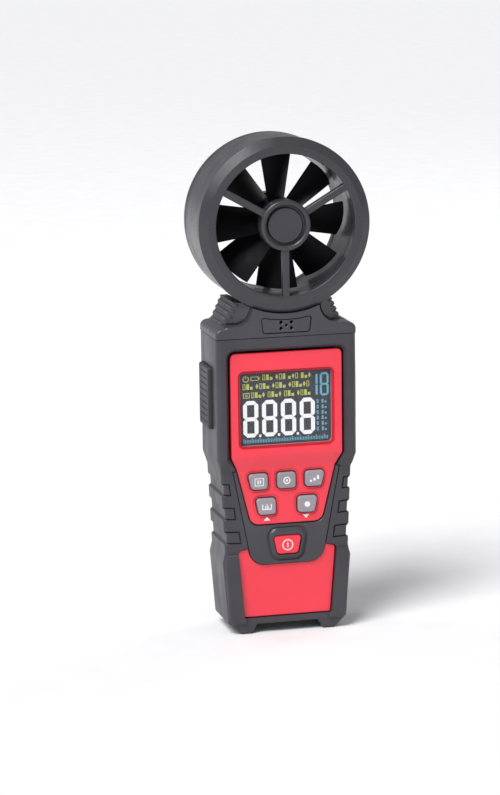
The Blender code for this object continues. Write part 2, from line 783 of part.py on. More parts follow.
vent_shape = mm([(9.4, 1.8), (10.5, 8.3), (5.5, 7.4), (0, 7.1)])
vent_outline = rounded(
    symmetric([(x, BODY_TOP_Z + z) for x, z in vent_shape]),
    [0.9 * MM, 0.9 * MM, 0.0, 0.0, 0.0, 0.9 * MM, 0.9 * MM],
    2,
)
VENT_T = 1.0 * MM
VENT_HOLE_Z = BODY_TOP_Z + 4.7 * MM
VENT_HOLES = [(0, 0, 0.55), (-2.15, 1.2, 0.65), (2.15, 1.2, 0.65), (-2.15, -1.2, 0.65), (2.15, -1.2, 0.65)]
vent_y = NECK_Y + 0.15 * MM
vent_room = plate("vent_room", grown(vent_outline, GAP), NECK_Y - 2 * MM, vent_y + VENT_T + GAP, None)
vent_way = plate(
    "vent_way",
    box_outline(-4 * MM, VENT_HOLE_Z - 2.1 * MM, 4 * MM, VENT_HOLE_Z + 1.9 * MM),
    NECK_Y,
    NECK_Y + 4 * MM,
    None,
)

holder_half_w = WINDOW_HALF_W + GAP + HOLDER_WALL
holder_outline = box_outline(
    -holder_half_w,
    WINDOW_Z[0] - GAP - HOLDER_WALL,
    holder_half_w,
    WINDOW_Z[1] + GAP + HOLDER_WALL,
)
FRONT_WALL_CUT_Y = (CASE_Y - 1 * MM, CASE_Y + CASE_WALL + 1 * MM)
holder_room = plate("holder_room", grown(holder_outline, GAP), *FRONT_WALL_CUT_Y, None)

join(front_case, front_cap)
cut(front_case, ring_room, front_cavity, neck_cavity, lug_room, neck_pocket(-1), neck_pocket(1))
cut(front_case, vent_room, vent_way, holder_room)
neck_notches = [neck_notch(side, number) for side in (-1, 1) for number in range(NECK_TEETH)]
cut(front_case, *neck_notches)
for name, outline in key_outlines.items():
    room = plate(f"{name}_case_room", grown(outline, KEY_FLANGE + 2 * GAP), *FRONT_WALL_CUT_Y, None)
    cut(front_case, room)

rear_case = plate("rear_case", core, GAP / 2, CASE_REAR_Y, GREY_PLASTIC, rear_bevel=2.2 * MM)
rear_cap = plate("rear_cap", cap_outline, GAP / 2, NECK_REAR_Y, None, rear_bevel=1.6 * MM)
rear_cavity = plate("rear_cavity", grown(core, -CASE_WALL), -1 * MM, CASE_REAR_Y - 2.4 * MM, None)
rear_neck_cavity = plate("rear_neck_cavity", neck_cavity_outline, -1 * MM, NECK_REAR_Y - 2.4 * MM, None)
bay_outline = box_outline(-BAY_HALF_W, BAY_FOOT_Z, BAY_HALF_W, BAY_TOP_Z)
bay_tub = plate("bay_tub", grown(bay_outline, BAY_WALL), BAY_FLOOR_Y - BAY_WALL, CASE_REAR_Y - 1 * MM, None)
bay_room = plate("bay_room", bay_outline, BAY_FLOOR_Y, CASE_REAR_Y + 1 * MM, None)
door_outline = rounded(box_outline(-DOOR_HALF_W, DOOR_Z[0], DOOR_HALF_W, DOOR_Z[1]), 1.2 * MM, 2)
door_y = CASE_REAR_Y - DOOR_T
door_room = plate("door_room", grown(door_outline, GAP), door_y - GAP, CASE_REAR_Y + 1 * MM, None)
socket_boss = turned(
    "socket_boss",
    [
        (0, CASE_REAR_Y - SOCKET_LENGTH - 1.6 * MM),
        (SOCKET_R + 1.8 * MM, CASE_REAR_Y - SOCKET_LENGTH - 1.6 * MM),
        (SOCKET_R + 1.8 * MM, CASE_REAR_Y - 1 * MM),
        (0, CASE_REAR_Y - 1 * MM),
    ],
    None,
    z=SOCKET_Z,
    count=24,
)
socket_room = turned(
    "socket_room",
    [
        (0, CASE_REAR_Y - SOCKET_LENGTH - GAP),
        (SOCKET_R + GAP, CASE_REAR_Y - SOCKET_LENGTH - GAP),
        (SOCKET_R + GAP, CASE_REAR_Y + 1 * MM),
        (0, CASE_REAR_Y + 1 * MM),
    ],
    None,
    z=SOCKET_Z,
    count=24,
)
join(rear_case, rear_cap)
cut(rear_case, ring_room, rear_cavity, rear_neck_cavity)
join(rear_case, bay_tub, socket_boss)
cut(rear_case, lug_room, bay_room, door_room, socket_room, *neck_notches)
tab_room = plate(
    "tab_room",
    box_outline(
        -DOOR_TAB_X - DOOR_TAB_W,
        DOOR_Z[0] - DOOR_TAB - GAP,
        DOOR_TAB_X + DOOR_TAB_W,
        DOOR_Z[0] + 2 * MM,
    ),
    door_y - 3.4 * MM,
    door_y + DOOR_TAB_STEP + GAP,
    None,
)


def screw_post(name, x, z):
    """Adds a screw's post to each half of the case, and makes the screw."""
    front_post = turned(
        f"{name}_front_post",
        [
            (0, CASE_Y + 1 * MM),
            (SCREW_BOSS_R, CASE_Y + 1 * MM),
            (SCREW_BOSS_R, -2 * GAP),
            (0, -2 * GAP),
        ],
        None,
        x=x,
        z=z,
        count=12,
    )
    rear_post = turned(
        f"{name}_rear_post",
        [
            (0, 2 * GAP),
            (SCREW_BOSS_R, 2 * GAP),
            (SCREW_BOSS_R, CASE_REAR_Y - 2 * MM),
            (0, CASE_REAR_Y - 2 * MM),
        ],
        None,
        x=x,
        z=z,
        count=12,
    )
    way = turned(
        f"{name}_way",
        [
            (0, CASE_Y + 2.6 * MM),
            (SCREW_R + GAP, CASE_Y + 2.6 * MM),
            (SCREW_R + GAP, SCREW_SEAT_Y),
            (SCREW_HEAD_R + GAP, SCREW_SEAT_Y),
            (SCREW_HEAD_R + GAP, CASE_REAR_Y + 1 * MM),
            (0, CASE_REAR_Y + 1 * MM),
        ],
        None,
        x=x,
        z=z,
        count=12,
    )
    join(front_case, front_post)
    cut(front_case, way)
    join(rear_case, rear_post)
    cut(rear_case, way)
    head_y = SCREW_SEAT_Y + GAP
    turned(
        name,
        [
            (0, CASE_Y + 3.0 * MM),
            (SCREW_R, CASE_Y + 3.0 * MM),
            (SCREW_R, head_y),
            (SCREW_HEAD_R, head_y),
            (SCREW_HEAD_R, head_y + SCREW_HEAD_T - 0.6 * MM),
            (SCREW_HEAD_R - 0.6 * MM, head_y + SCREW_HEAD_T),
            (0, head_y + SCREW_HEAD_T),
        ],
        STEEL,
        x=x,
        z=z,
        count=12,
    )


for number, (side, (screw_x, screw_z)) in enumerate(
    ((-1, SCREW_TOP), (1, SCREW_TOP), (-1, SCREW_LOW), (1, SCREW_LOW)), 1
):
    screw_post(f"case_screw_{number}", side * screw_x, screw_z)
cut(rear_case, tab_room)


# ------------------------------------------------------------------- bumper

NOTCHES = [(37.6, 42.9), (47.6, 52.9), (57.6, 62.7)]
NOTCH_DEPTH = 0.9 * MM
GROOVE_W = 0.5 * MM
GROOVE_DEPTH = 0.5 * MM


def waist_x(z):
    """Half width of the grip at height z."""
    share = (z - RAIL_TOP_Z) / (WAIST_Z - RAIL_TOP_Z)
    return RAIL_HALF_W + (WAIST_HALF_W - RAIL_HALF_W) * share


def bumper_edge():
    """The right edge of the bumper, from the middle of its foot up."""
    made = [(12.6 * MM, FOOT_RECESS), (14.8 * MM, 0.0), (19.6 * MM, 0.0)]
    made += [(RAIL_HALF_W - 1.0 * MM, 4.8 * MM), (RAIL_HALF_W - 0.2 * MM, 15.0 * MM)]
    made.append((RAIL_HALF_W + 1.0 * MM, RAIL_TOP_Z - 4.0 * MM))
    made.append((RAIL_HALF_W, RAIL_TOP_Z))
    for z0, z1 in NOTCHES:
        z0, z1 = z0 * MM, z1 * MM
        made.append((waist_x(z0), z0))
        made.append((waist_x(z0) - NOTCH_DEPTH, z0 + 0.7 * MM))
        made.append((waist_x(z1) - NOTCH_DEPTH, z1 - 0.9 * MM))
        made.append((waist_x(z1), z1))
    made += [(WAIST_HALF_W, WAIST_Z), (BODY_HALF_W, SHOULDER_Z), (BODY_HALF_W, BODY_TOP_Z)]
    return made


bumper_outline = symmetric(bumper_edge())
bumper = plate(
    "bumper",
    bumper_outline,
    GRIP_Y,
    BUMPER_REAR_Y,
    BLACK_RUBBER,
    bevel=1.3 * MM,
    rear_bevel=1.3 * MM,
)

frame_outline = symmetric(
    [
        (WAIST_HALF_W - 0.4 * MM, WAIST_Z),
        (BODY_HALF_W - 0.1 * MM, SHOULDER_Z),
        (BODY_HALF_W - 0.1 * MM, BODY_TOP_Z),
    ]
)
frame = plate("frame", frame_outline, FRAME_Y, GRIP_Y + 4 * MM, None, bevel=1.2 * MM)
frame_slope = side_profile(
    "frame_slope",
    [
        (FRAME_Y - 1 * MM, SHOULDER_Z + 1.1 * MM),
        (GRIP_Y, WAIST_Z + 0.2 * MM),
        (GRIP_Y + 0.001 * MM, WAIST_Z - 4 * MM),
        (FRAME_Y - 1 * MM, WAIST_Z - 4 * MM),
    ],
    40 * MM,
    None,
)
cut(frame, frame_slope)


def rail(side):
    """The raised rail beside the lower panel."""
    outer = RAIL_HALF_W - 25.7 * MM
    outline = [(17.0 * MM, 4.2 * MM), (23.0 * MM + outer, 4.2 * MM), (24.6 * MM + outer, 7.0 * MM)]
    outline += [(25.9 * MM + outer, RAIL_TOP_Z - 4.7 * MM), (24.9 * MM + outer, RAIL_TOP_Z - 0.6 * MM)]
    outline += [(20.0 * MM, RAIL_TOP_Z - 0.6 * MM), (19.6 * MM, RAIL_TOP_Z - 4.2 * MM), (17.0 * MM, 6.0 * MM)]
    if side < 0:
        outline = [(-x, z) for x, z in reversed(outline)]
    name = "rail_right" if side > 0 else "rail_left"
    return plate(name, outline, RAIL_Y, GRIP_Y + 3 * MM, None, bevel=1.1 * MM)


def grip_groove(side, z0, z1, inner):
    """A narrow groove round a square on the front of the grip, open at the grip's outer edge."""
    inner_top = inner + 0.6 * MM
    outer, slant, w = 30 * MM, 0.6 * MM, GROOVE_W
    outline = [
        (inner, z0),
        (outer, z0 + slant),
        (outer, z0 + slant + w),
        (inner + w, z0 + w),
        (inner_top + w, z1 - w),
        (outer, z1 + slant - w),
        (outer, z1 + slant),
        (inner_top, z1),
    ]
    if side < 0:
        outline = [(-x, z) for x, z in reversed(outline)]
    return plate(f"groove_{side}_{z0:.4f}", outline, GRIP_Y - 3 * MM, GRIP_Y + GROOVE_DEPTH, None)


join(bumper, frame, rail(1), rail(-1))
bumper_core_room = plate("bumper_core_room", core_room, CASE_Y - GAP, BUMPER_REAR_Y + 3 * MM, None)
cut(bumper, bumper_core_room)
display_way = loft(
    "display_way",
    [
        (FRAME_Y - 0.2 * MM, grown(display_outline, GAP + FRAME_BEVEL + 0.2 * MM)),
        (DISPLAY_Y + 0.4 * MM, grown(display_outline, GAP)),
        (CASE_Y + 1 * MM, grown(display_outline, GAP)),
    ],
    None,
)
u_way = plate("u_way", grown(u_outline, GAP), -20 * MM, CASE_Y + 1 * MM, None)
lower_way = plate("lower_way", grown(lower_outline, GAP), -20 * MM, CASE_Y + 1 * MM, None)
cut(bumper, display_way, u_way, lower_way)
for (z0, z1), inner in zip(NOTCHES, (19.0, 21.0, 22.9)):
    for side in (-1, 1):
        cut(bumper, grip_groove(side, z0 * MM, z1 * MM, inner * MM))

for side, name in ((-1, "side_pad_left"), (1, "side_pad_right")):
    pad_x = (BODY_HALF_W - PAD_SINK, BODY_HALF_W + PAD_PROUD)
    pad = plate(
        name,
        box_outline(min(side * x for x in pad_x), PAD_Z[0], max(side * x for x in pad_x), PAD_Z[1]),
        -PAD_HALF_DEPTH,
        PAD_HALF_DEPTH,
        BLACK_RUBBER,
    )
    softened = pad.modifiers.new("soft edges", "BEVEL")
    softened.width = 0.9 * MM
    softened.segments = 2
    pad_room = plate(
        f"{name}_room",
        box_outline(
            min(side * (BODY_HALF_W - PAD_SINK - GAP), side * (BODY_HALF_W + 3 * MM)),
            PAD_Z[0] - GAP,
            max(side * (BODY_HALF_W - PAD_SINK - GAP), side * (BODY_HALF_W + 3 * MM)),
            PAD_Z[1] + GAP,
        ),
        -PAD_HALF_DEPTH - GAP,
        PAD_HALF_DEPTH + GAP,
        None,
    )
    cut(bumper, pad_room)


# ------------------------------------------------------------- front panels

panel_section = [
    (DISPLAY_Y, DISPLAY_TOP_Z + 1 * MM),
    (DISPLAY_Y, SLOPE_TOP_Z),
    (KEYPAD_Y, SLOPE_FOOT_Z),
    (KEYPAD_Y, KEYPAD_FOOT_Z - 1 * MM),
    (KEYPAD_Y + PANEL_T, KEYPAD_FOOT_Z - 1 * MM),
    (KEYPAD_Y + PANEL_T, SLOPE_FOOT_Z - 0.5 * MM),
    (DISPLAY_Y + PANEL_T, SLOPE_TOP_Z - 0.5 * MM),
    (DISPLAY_Y + PANEL_T, DISPLAY_TOP_Z + 1 * MM),
]
keypad_panel = side_profile("keypad_panel", panel_section, DISPLAY_HALF_W + 1 * MM, RED_PLASTIC)
boolean(keypad_panel, plate("keypad_panel_shape", display_outline, -20 * MM, -5 * MM, None), "INTERSECT")
window_way = loft(
    "window_way",
    [
        (DISPLAY_Y - 0.1 * MM, grown(window_outline, GAP + WINDOW_BEVEL + 0.1 * MM)),
        (DISPLAY_Y + 0.7 * MM, grown(window_outline, GAP)),
        (DISPLAY_Y + 3 * MM, grown(window_outline, GAP)),
    ],
    None,
)
cut(keypad_panel, window_way)

power_panel = plate("power_panel", u_outline, POWER_PANEL_Y, KEYPAD_Y + PANEL_T, GREY_PLASTIC)
keypad_room = plate("keypad_room", grown(display_outline, GAP), -20 * MM, -5 * MM, None)
power_bezel = loft(
    "power_bezel",
    [
        (POWER_PANEL_Y - POWER_BEZEL_PROUD, grown(power_key_outline, GAP + POWER_BEZEL_LIP)),
        (POWER_PANEL_Y, grown(power_key_outline, GAP + POWER_BEZEL)),
        (KEYPAD_Y + 0.5 * MM, grown(power_key_outline, GAP + POWER_BEZEL)),
    ],
    None,
)
power_key_way = plate("power_key_way", grown(power_key_outline, GAP), -20 * MM, -5 * MM, None)
cut(power_panel, keypad_room)
join(power_panel, power_bezel)
cut(power_panel, power_key_way)

lower_panel = plate("lower_panel", lower_outline, LOWER_PANEL_Y, KEYPAD_Y + PANEL_T, RED_PLASTIC)
u_room = plate("u_room", grown(u_outline, GAP), -20 * MM, -5 * MM, None)
cut(lower_panel, u_room)

sensor_cover = plate("sensor_cover", vent_outline, vent_y, vent_y + VENT_T, GREY_PLASTIC)
for number, (hole_x, hole_z, hole_r) in enumerate(VENT_HOLES):
    hole_outline = circle(hole_x * MM, VENT_HOLE_Z + hole_z * MM, hole_r * MM, 10)
    hole = plate(f"vent_hole_{number}", hole_outline, vent_y - 1 * MM, vent_y + 3 * MM, None)
    cut(sensor_cover, hole)
plate(
    "air_sensor",
    box_outline(-1.6 * MM, VENT_HOLE_Z - 1.4 * MM, 1.6 * MM, VENT_HOLE_Z + 1.3 * MM),
    vent_y + VENT_T + 0.6 * MM,
    vent_y + VENT_T + 1.8 * MM,
    CHIP_BLACK,
)


# ------------------------------------------------------------------ display

plate("lcd_window", window_outline, WINDOW_Y, WINDOW_Y + WINDOW_T, CLEAR_PLASTIC)
glass_y = DISPLAY_Y + PANEL_T + 2 * GAP
plate("lcd_glass", window_outline, glass_y, glass_y + GLASS_T, LCD_GLASS)
light_y = glass_y + GLASS_T + GAP
plate("lcd_backlight", window_outline, light_y, light_y + BACKLIGHT_T, WHITE_PLASTIC)
lcd_holder = plate("lcd_holder", holder_outline, DISPLAY_Y + PANEL_T + GAP, BOARD_Y - GAP, WHITE_PLASTIC)
cut(lcd_holder, plate("glass_room", grown(window_outline, GAP), -20 * MM, -2 * MM, None))


# --------------------------------------------------------------------- keys

membrane_y = CASE_Y + CASE_WALL + GAP
MEMBRANE_T = 0.8 * MM
DOME_R = 1.7 * MM
DOME_T = 0.55 * MM
membrane = plate(
    "key_membrane",
    symmetric(mm([(9.4, 29.6), (16.4, 67.6)])),
    membrane_y,
    membrane_y + MEMBRANE_T,
    SILICONE,
)


def key(name, outline, panel_y, look, proud):
    front_y = panel_y - proud
    flange_y = CASE_Y
    cap = plate(name, outline, front_y, flange_y + 0.8 * MM, look, bevel=0.5 * MM)
    x = sum(p[0] for p in outline) / len(outline)
    z = sum(p[1] for p in outline) / len(outline)
    flange = plate(f"{name}_flange", grown(outline, KEY_FLANGE), flange_y, flange_y + 0.8 * MM, None)
    stem = plate(f"{name}_stem", circle(x, z, 1.4 * MM, 10), flange_y + 0.4 * MM, flange_y + 1.2 * MM, None)
    join(cap, flange, stem)
    dome_way = circle(x, z, DOME_R + 0.5 * MM, 12)
    cut(membrane, plate(f"{name}_dome_room", dome_way, membrane_y - 1 * MM, membrane_y + 2 * MM, None))
    dome_foot = BOARD_Y - GAP
    plate(
        name.replace("key_", "switch_"),
        circle(x, z, DOME_R, 12),
        dome_foot - DOME_T,
        dome_foot,
        STEEL,
        bevel=0.3 * MM,
    )
    return grown(outline, GAP)


for name, *_ in KEYS:
    way = key(name, key_outlines[name], KEYPAD_Y, KEY_RUBBER, KEY_PROUD)
    cut(keypad_panel, plate(f"{name}_way", way, -20 * MM, -5 * MM, None))
key("key_power", power_key_outline, POWER_PANEL_Y, RED_PLASTIC, POWER_KEY_PROUD)


# -------------------------------------------------------------- electronics

plate(
    "main_board",
    symmetric(
        mm([(10.0, 29.0), (16.6, 66.0)])
        + [
            (16.6 * MM, SLOPE_TOP_Z + 1.9 * MM),
            (BOARD_HALF_W, SLOPE_TOP_Z + 1.9 * MM),
            (BOARD_HALF_W, BOARD_TOP_Z),
        ]
    ),
    BOARD_Y,
    BOARD_Y + BOARD_T,
    BOARD_GREEN,
)
part_y = BOARD_Y + BOARD_T + GAP
display_middle_z = (WINDOW_Z[0] + WINDOW_Z[1]) / 2
CHIP_HALF = 5 * MM
plate(
    "processor",
    box_outline(-CHIP_HALF, display_middle_z - CHIP_HALF, CHIP_HALF, display_middle_z + CHIP_HALF),
    part_y,
    part_y + 1.4 * MM,
    CHIP_BLACK,
)
turned(
    "buzzer",
    [(0, part_y), (5.0 * MM, part_y), (5.0 * MM, part_y + 3.6 * MM), (0, part_y + 3.6 * MM)],
    CHIP_BLACK,
    x=9.0 * MM,
    z=BOARD_TOP_Z - 7.4 * MM,
    count=24,
)


cable_head_z = lug_foot_z - 2 * GAP
cable_foot_z = BOARD_TOP_Z + 2 * GAP
cable_foot_y = BOARD_Y + BOARD_T / 2
cable_route = []
for step in range(9):
    share = step / 8
    eased = share * share * (3 - 2 * share)
    drop_z = cable_head_z + (cable_foot_z - cable_head_z) * share
    cable_route.append((2.4 * MM * eased, cable_foot_y * eased, drop_z))
cable_curve = bpy.data.curves.new("sensor_cable", "CURVE")
cable_curve.dimensions = "3D"
cable_curve.bevel_depth = 0.8 * MM
cable_curve.bevel_resolution = 2
cable_curve.use_fill_caps = True
cable_curve.materials.append(CABLE_SLEEVE)
cable_spline = cable_curve.splines.new("POLY")
cable_spline.points.add(len(cable_route) - 1)
for point, (x, y, z) in zip(cable_spline.points, cable_route):
    point.co = (x, y, z, 1.0)
sensor_cable = bpy.data.objects.new("sensor_cable", cable_curve)
bpy.context.scene.collection.objects.link(sensor_cable)


# -------------------------------------------------------- batteries and door

cell_rows = [(-CELL_PITCH, "1"), (0.0, "2"), (CELL_PITCH, "3")]


def upright(name, profile, x, y, look, count=SMALL_ROUND):
    """A solid turned about a line along Z. profile is [(radius, z), ...]."""
    points, rows = [], []
    for radius, z in profile:
        if radius < 1e-9:
            rows.append([len(points)] * count)
            points.append((x, y, z))
            continue
        rows.append(list(range(len(points), len(points) + count)))
        points += [(px, py, z) for px, py in circle(x, y, radius, count)]
    faces = []
    for row, after in zip(rows, rows[1:]):
        for k in range(count):
            n = (k + 1) % count
            corners = list(dict.fromkeys((row[k], row[n], after[n], after[k])))
            if len(corners) > 2:
                faces.append(tuple(corners))
    made = solid(name, points, faces, look)
    made.data.shade_smooth()
    made.data.set_sharp_from_angle(angle=math.radians(35))
    return made


def spring(name, x, foot_z, top_z):
    """A conical contact spring, a wire of round section wound in three turns."""
    turns, steps, sides = 3, 12, 5
    wire_r, low_r, high_r = 0.35 * MM, 3.4 * MM, 2.0 * MM
    points = []
    total = turns * steps
    for k in range(total + 1):
        share = k / total
        angle = 2 * math.pi * turns * share
        radius = low_r + (high_r - low_r) * share
        height = foot_z + wire_r + (top_z - foot_z - 2 * wire_r) * share
        for side in range(sides):
            around = 2 * math.pi * side / sides
            r = radius + wire_r * math.cos(around)
            z = height + wire_r * math.sin(around)
            points.append((x + r * math.cos(angle), CELL_Y + r * math.sin(angle), z))
    faces = [tuple(range(sides)), tuple(range(total * sides, (total + 1) * sides))]
    for k in range(total):
        for side in range(sides):
            n = (side + 1) % sides
            low = k * sides
            faces.append((low + side, low + n, low + sides + n, low + sides + side))
    return solid(name, points, faces, STEEL)


for cell_x, number in cell_rows:
    upright(
        f"battery_{number}",
        [
            (0, CELL_FOOT_Z),
            (CELL_R, CELL_FOOT_Z),
            (CELL_R, CELL_TOP_Z - 0.8 * MM),
            (1.9 * MM, CELL_TOP_Z - 0.8 * MM),
            (1.9 * MM, CELL_TOP_Z),
            (0, CELL_TOP_Z),
        ],
        cell_x,
        CELL_Y,
        CELL_WRAP,
    )
    spring(f"battery_spring_{number}", cell_x, BAY_FOOT_Z + GAP, CELL_FOOT_Z - GAP)
    plate(
        f"battery_contact_{number}",
        box_outline(cell_x - 4 * MM, CELL_TOP_Z + GAP, cell_x + 4 * MM, CELL_TOP_Z + GAP + 0.5 * MM),
        CELL_Y - 3.6 * MM,
        CELL_Y + 3.6 * MM,
        STEEL,
    )

battery_door = plate("battery_door", door_outline, door_y, CASE_REAR_Y, GREY_PLASTIC)
for side in (-1, 1):
    tab_x = side * DOOR_TAB_X
    tab_section = box_outline(
        tab_x - DOOR_TAB_W / 2, DOOR_Z[0] - DOOR_TAB, tab_x + DOOR_TAB_W / 2, DOOR_Z[0] + 1.5 * MM
    )
    tab_y = (door_y - DOOR_TAB_T + DOOR_TAB_STEP, door_y + DOOR_TAB_STEP)
    tab = plate(f"door_tab_{side}", tab_section, *tab_y, None)
    join(battery_door, tab)
thumb_dish = turned(
    "thumb_dish",
    [
        (0, CASE_REAR_Y - 0.8 * MM),
        (5.0 * MM, CASE_REAR_Y - 0.8 * MM),
        (5.6 * MM, CASE_REAR_Y + 0.4 * MM),
        (0, CASE_REAR_Y + 0.4 * MM),
    ],
    None,
    z=DOOR_Z[1] - 9 * MM,
    count=24,
)
cut(battery_door, thumb_dish)


# ------------------------------------------------------------ tripod socket

turned(
    "tripod_socket",
    [
        (SOCKET_BORE_R, CASE_REAR_Y - SOCKET_LENGTH),
        (SOCKET_R, CASE_REAR_Y - SOCKET_LENGTH),
        (SOCKET_R, CASE_REAR_Y),
        (SOCKET_BORE_R, CASE_REAR_Y),
    ],
    BRASS,
    z=SOCKET_Z,
    count=24,
)
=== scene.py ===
"""Looks of the handheld weather meter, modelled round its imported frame.

Metres, +Z up. The display and keys face -Y, the fan's shaft lies along Y, and x = 0 is the middle.
"""

import math

import bpy
from mathutils import Matrix, Vector


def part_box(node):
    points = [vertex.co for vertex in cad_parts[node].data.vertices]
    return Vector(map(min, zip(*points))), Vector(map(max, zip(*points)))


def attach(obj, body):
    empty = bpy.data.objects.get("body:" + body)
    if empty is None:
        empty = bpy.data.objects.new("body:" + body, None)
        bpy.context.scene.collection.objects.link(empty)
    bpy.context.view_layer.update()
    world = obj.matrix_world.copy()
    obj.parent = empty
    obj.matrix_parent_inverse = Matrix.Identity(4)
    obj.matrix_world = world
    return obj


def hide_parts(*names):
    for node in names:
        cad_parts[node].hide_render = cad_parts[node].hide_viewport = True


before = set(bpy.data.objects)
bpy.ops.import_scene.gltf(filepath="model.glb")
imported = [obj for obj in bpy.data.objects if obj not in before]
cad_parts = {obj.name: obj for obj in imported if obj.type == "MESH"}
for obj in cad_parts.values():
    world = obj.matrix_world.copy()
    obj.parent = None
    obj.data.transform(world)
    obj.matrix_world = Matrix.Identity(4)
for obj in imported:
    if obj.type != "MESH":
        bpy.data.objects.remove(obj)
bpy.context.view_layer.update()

MM = 0.001
GAP = 0.3 * MM
HAIR = 0.02 * MM


# ------------------------------------------------------------------- sizes


def low(node):
    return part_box(node)[0]


def high(node):
    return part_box(node)[1]


def middle(node):
    return (low(node) + high(node)) / 2


def radius_of(node):
    """Half the width of a round node."""
    return (high(node).x - low(node).x) / 2


FAN_Z = middle("hub_cap").z
GUARD_R = radius_of("front_guard")
DUCT_R = radius_of("fan_duct")
BORE_R = DUCT_R - 6.1 * MM
HUB_R = 10.2 * MM
HUB_CAP_R = radius_of("hub_cap")
ROTOR_R = HUB_R - 0.6 * MM
TIP_R = BORE_R - 1.1 * MM
BLADES = 8
SPOKE_W = 2.8 * MM
LUG_HALF_W, LUG_HALF_DEPTH = 8.5 * MM, 6.0 * MM

GUARD_FRONT_Y = low("front_guard").y + 0.4 * MM
GUARD_REAR_Y = high("front_guard").y
DUCT_Y = (low("fan_duct").y, high("fan_duct").y)
REAR_GUARD_Y = (low("rear_guard").y, high("rear_guard").y - 0.4 * MM)
ROTOR_Y = (low("impeller").y, high("impeller").y)

BODY_TOP_Z = high("bumper").z
BODY_HALF_W = high("bumper").x
SHOULDER_Z = BODY_TOP_Z - 49.1 * MM
WAIST_Z = BODY_TOP_Z - 54.6 * MM
WAIST_HALF_W = BODY_HALF_W - 1.8 * MM
RAIL_TOP_Z = 34.2 * MM
RAIL_HALF_W = WAIST_HALF_W - 1.4 * MM
FOOT_RECESS = 3.7 * MM
CAP_TOP_Z = BODY_TOP_Z + 3.9 * MM
NECK_FOOT = (BODY_HALF_W - 4.3 * MM, CAP_TOP_Z + 0.9 * MM)
NECK_TOP = (BODY_HALF_W - 8.6 * MM, CAP_TOP_Z + 10.1 * MM)

FRAME_Y = low("bumper").y
GRIP_Y = FRAME_Y + 3.0 * MM
RAIL_Y = FRAME_Y + 1.8 * MM
BUMPER_REAR_Y = high("bumper").y
NECK_Y = low("front_case").y
NECK_REAR_Y = BUMPER_REAR_Y + 1.4 * MM
CASE_Y = -10.2 * MM
CASE_REAR_Y = high("rear_case").y
CASE_WALL = 1.6 * MM
BUMPER_WALL = 3.3 * MM

DISPLAY_Y = low("keypad_panel").y
KEYPAD_Y = DISPLAY_Y + 2.3 * MM
PANEL_T = 1.5 * MM
PANEL_REAR_Y = KEYPAD_Y + PANEL_T
POWER_PANEL_Y = low("power_panel").y + 0.9 * MM
LOWER_PANEL_Y = low("lower_panel").y
SLOPE_TOP_Z = SHOULDER_Z + 1.0 * MM
SLOPE_FOOT_Z = WAIST_Z + 1.0 * MM

WINDOW_LOW, WINDOW_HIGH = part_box("lcd_window")
GLASS_Y = low("lcd_glass").y
DOOR_T = 1.8 * MM
DOOR_TAB_H = 2.4 * MM
DOOR_LOW, DOOR_HIGH = low("battery_door") + Vector((0, 0, DOOR_TAB_H)), high("battery_door")
SOCKET = middle("tripod_socket")
SCREWS = [f"case_screw_{number}" for number in range(1, 5)]
SCREW_HEAD_T = 1.7 * MM

# Reach of the tools that cut right through: past the flanks, and before and behind the panels
FLANK_REACH = 40 * MM
BEFORE_Y, BEHIND_Y = -20 * MM, -5 * MM


# --------------------------------------------------------------- materials


def shading(name):
    """A new material, with its node tree and its Principled shader."""
    look = bpy.data.materials.new(name)
    look.use_nodes = True
    tree = look.node_tree
    return look, tree, tree.nodes["Principled BSDF"]


def noise(tree, scale, detail=3.0, stretch=(1.0, 1.0, 1.0)):
    """Noise on the piece's own coordinates, scale in ripples to the metre."""
    place = tree.nodes.new("ShaderNodeTexCoord")
    turn = tree.nodes.new("ShaderNodeMapping")
    turn.inputs["Scale"].default_value = stretch
    texture = tree.nodes.new("ShaderNodeTexNoise")
    texture.inputs["Scale"].default_value = scale
    texture.inputs["Detail"].default_value = detail
    tree.links.new(place.outputs["Object"], turn.inputs["Vector"])
    tree.links.new(turn.outputs["Vector"], texture.inputs["Vector"])
    return texture.outputs["Fac"]


def ramp(tree, source, low_end, high_end, dark, light):
    """Colours from dark to light as the source runs from low_end to high_end."""
    node = tree.nodes.new("ShaderNodeValToRGB")
    first, last = node.color_ramp.elements
    first.position, last.position = low_end, high_end
    first.color, last.color = (*dark, 1.0), (*light, 1.0)
    tree.links.new(source, node.inputs["Fac"])
    return node.outputs["Color"]


def spread(tree, source, low_value, high_value, low_end=0.35, high_end=0.65):
    node = tree.nodes.new("ShaderNodeMapRange")
    node.inputs["From Min"].default_value = low_end
    node.inputs["From Max"].default_value = high_end
    node.inputs["To Min"].default_value = low_value
    node.inputs["To Max"].default_value = high_value
    tree.links.new(source, node.inputs["Value"])
    return node.outputs["Result"]


def bumps(tree, shader, *layers):
    """Bump layers, each (height source, strength, distance), one on the other."""
    normal = None
    for source, strength, distance in layers:
        node = tree.nodes.new("ShaderNodeBump")
        node.inputs["Strength"].default_value = strength
        node.inputs["Distance"].default_value = distance
        tree.links.new(source, node.inputs["Height"])
        if normal is not None:
            tree.links.new(normal, node.inputs["Normal"])
        normal = node.outputs["Normal"]
    tree.links.new(normal, shader.inputs["Normal"])


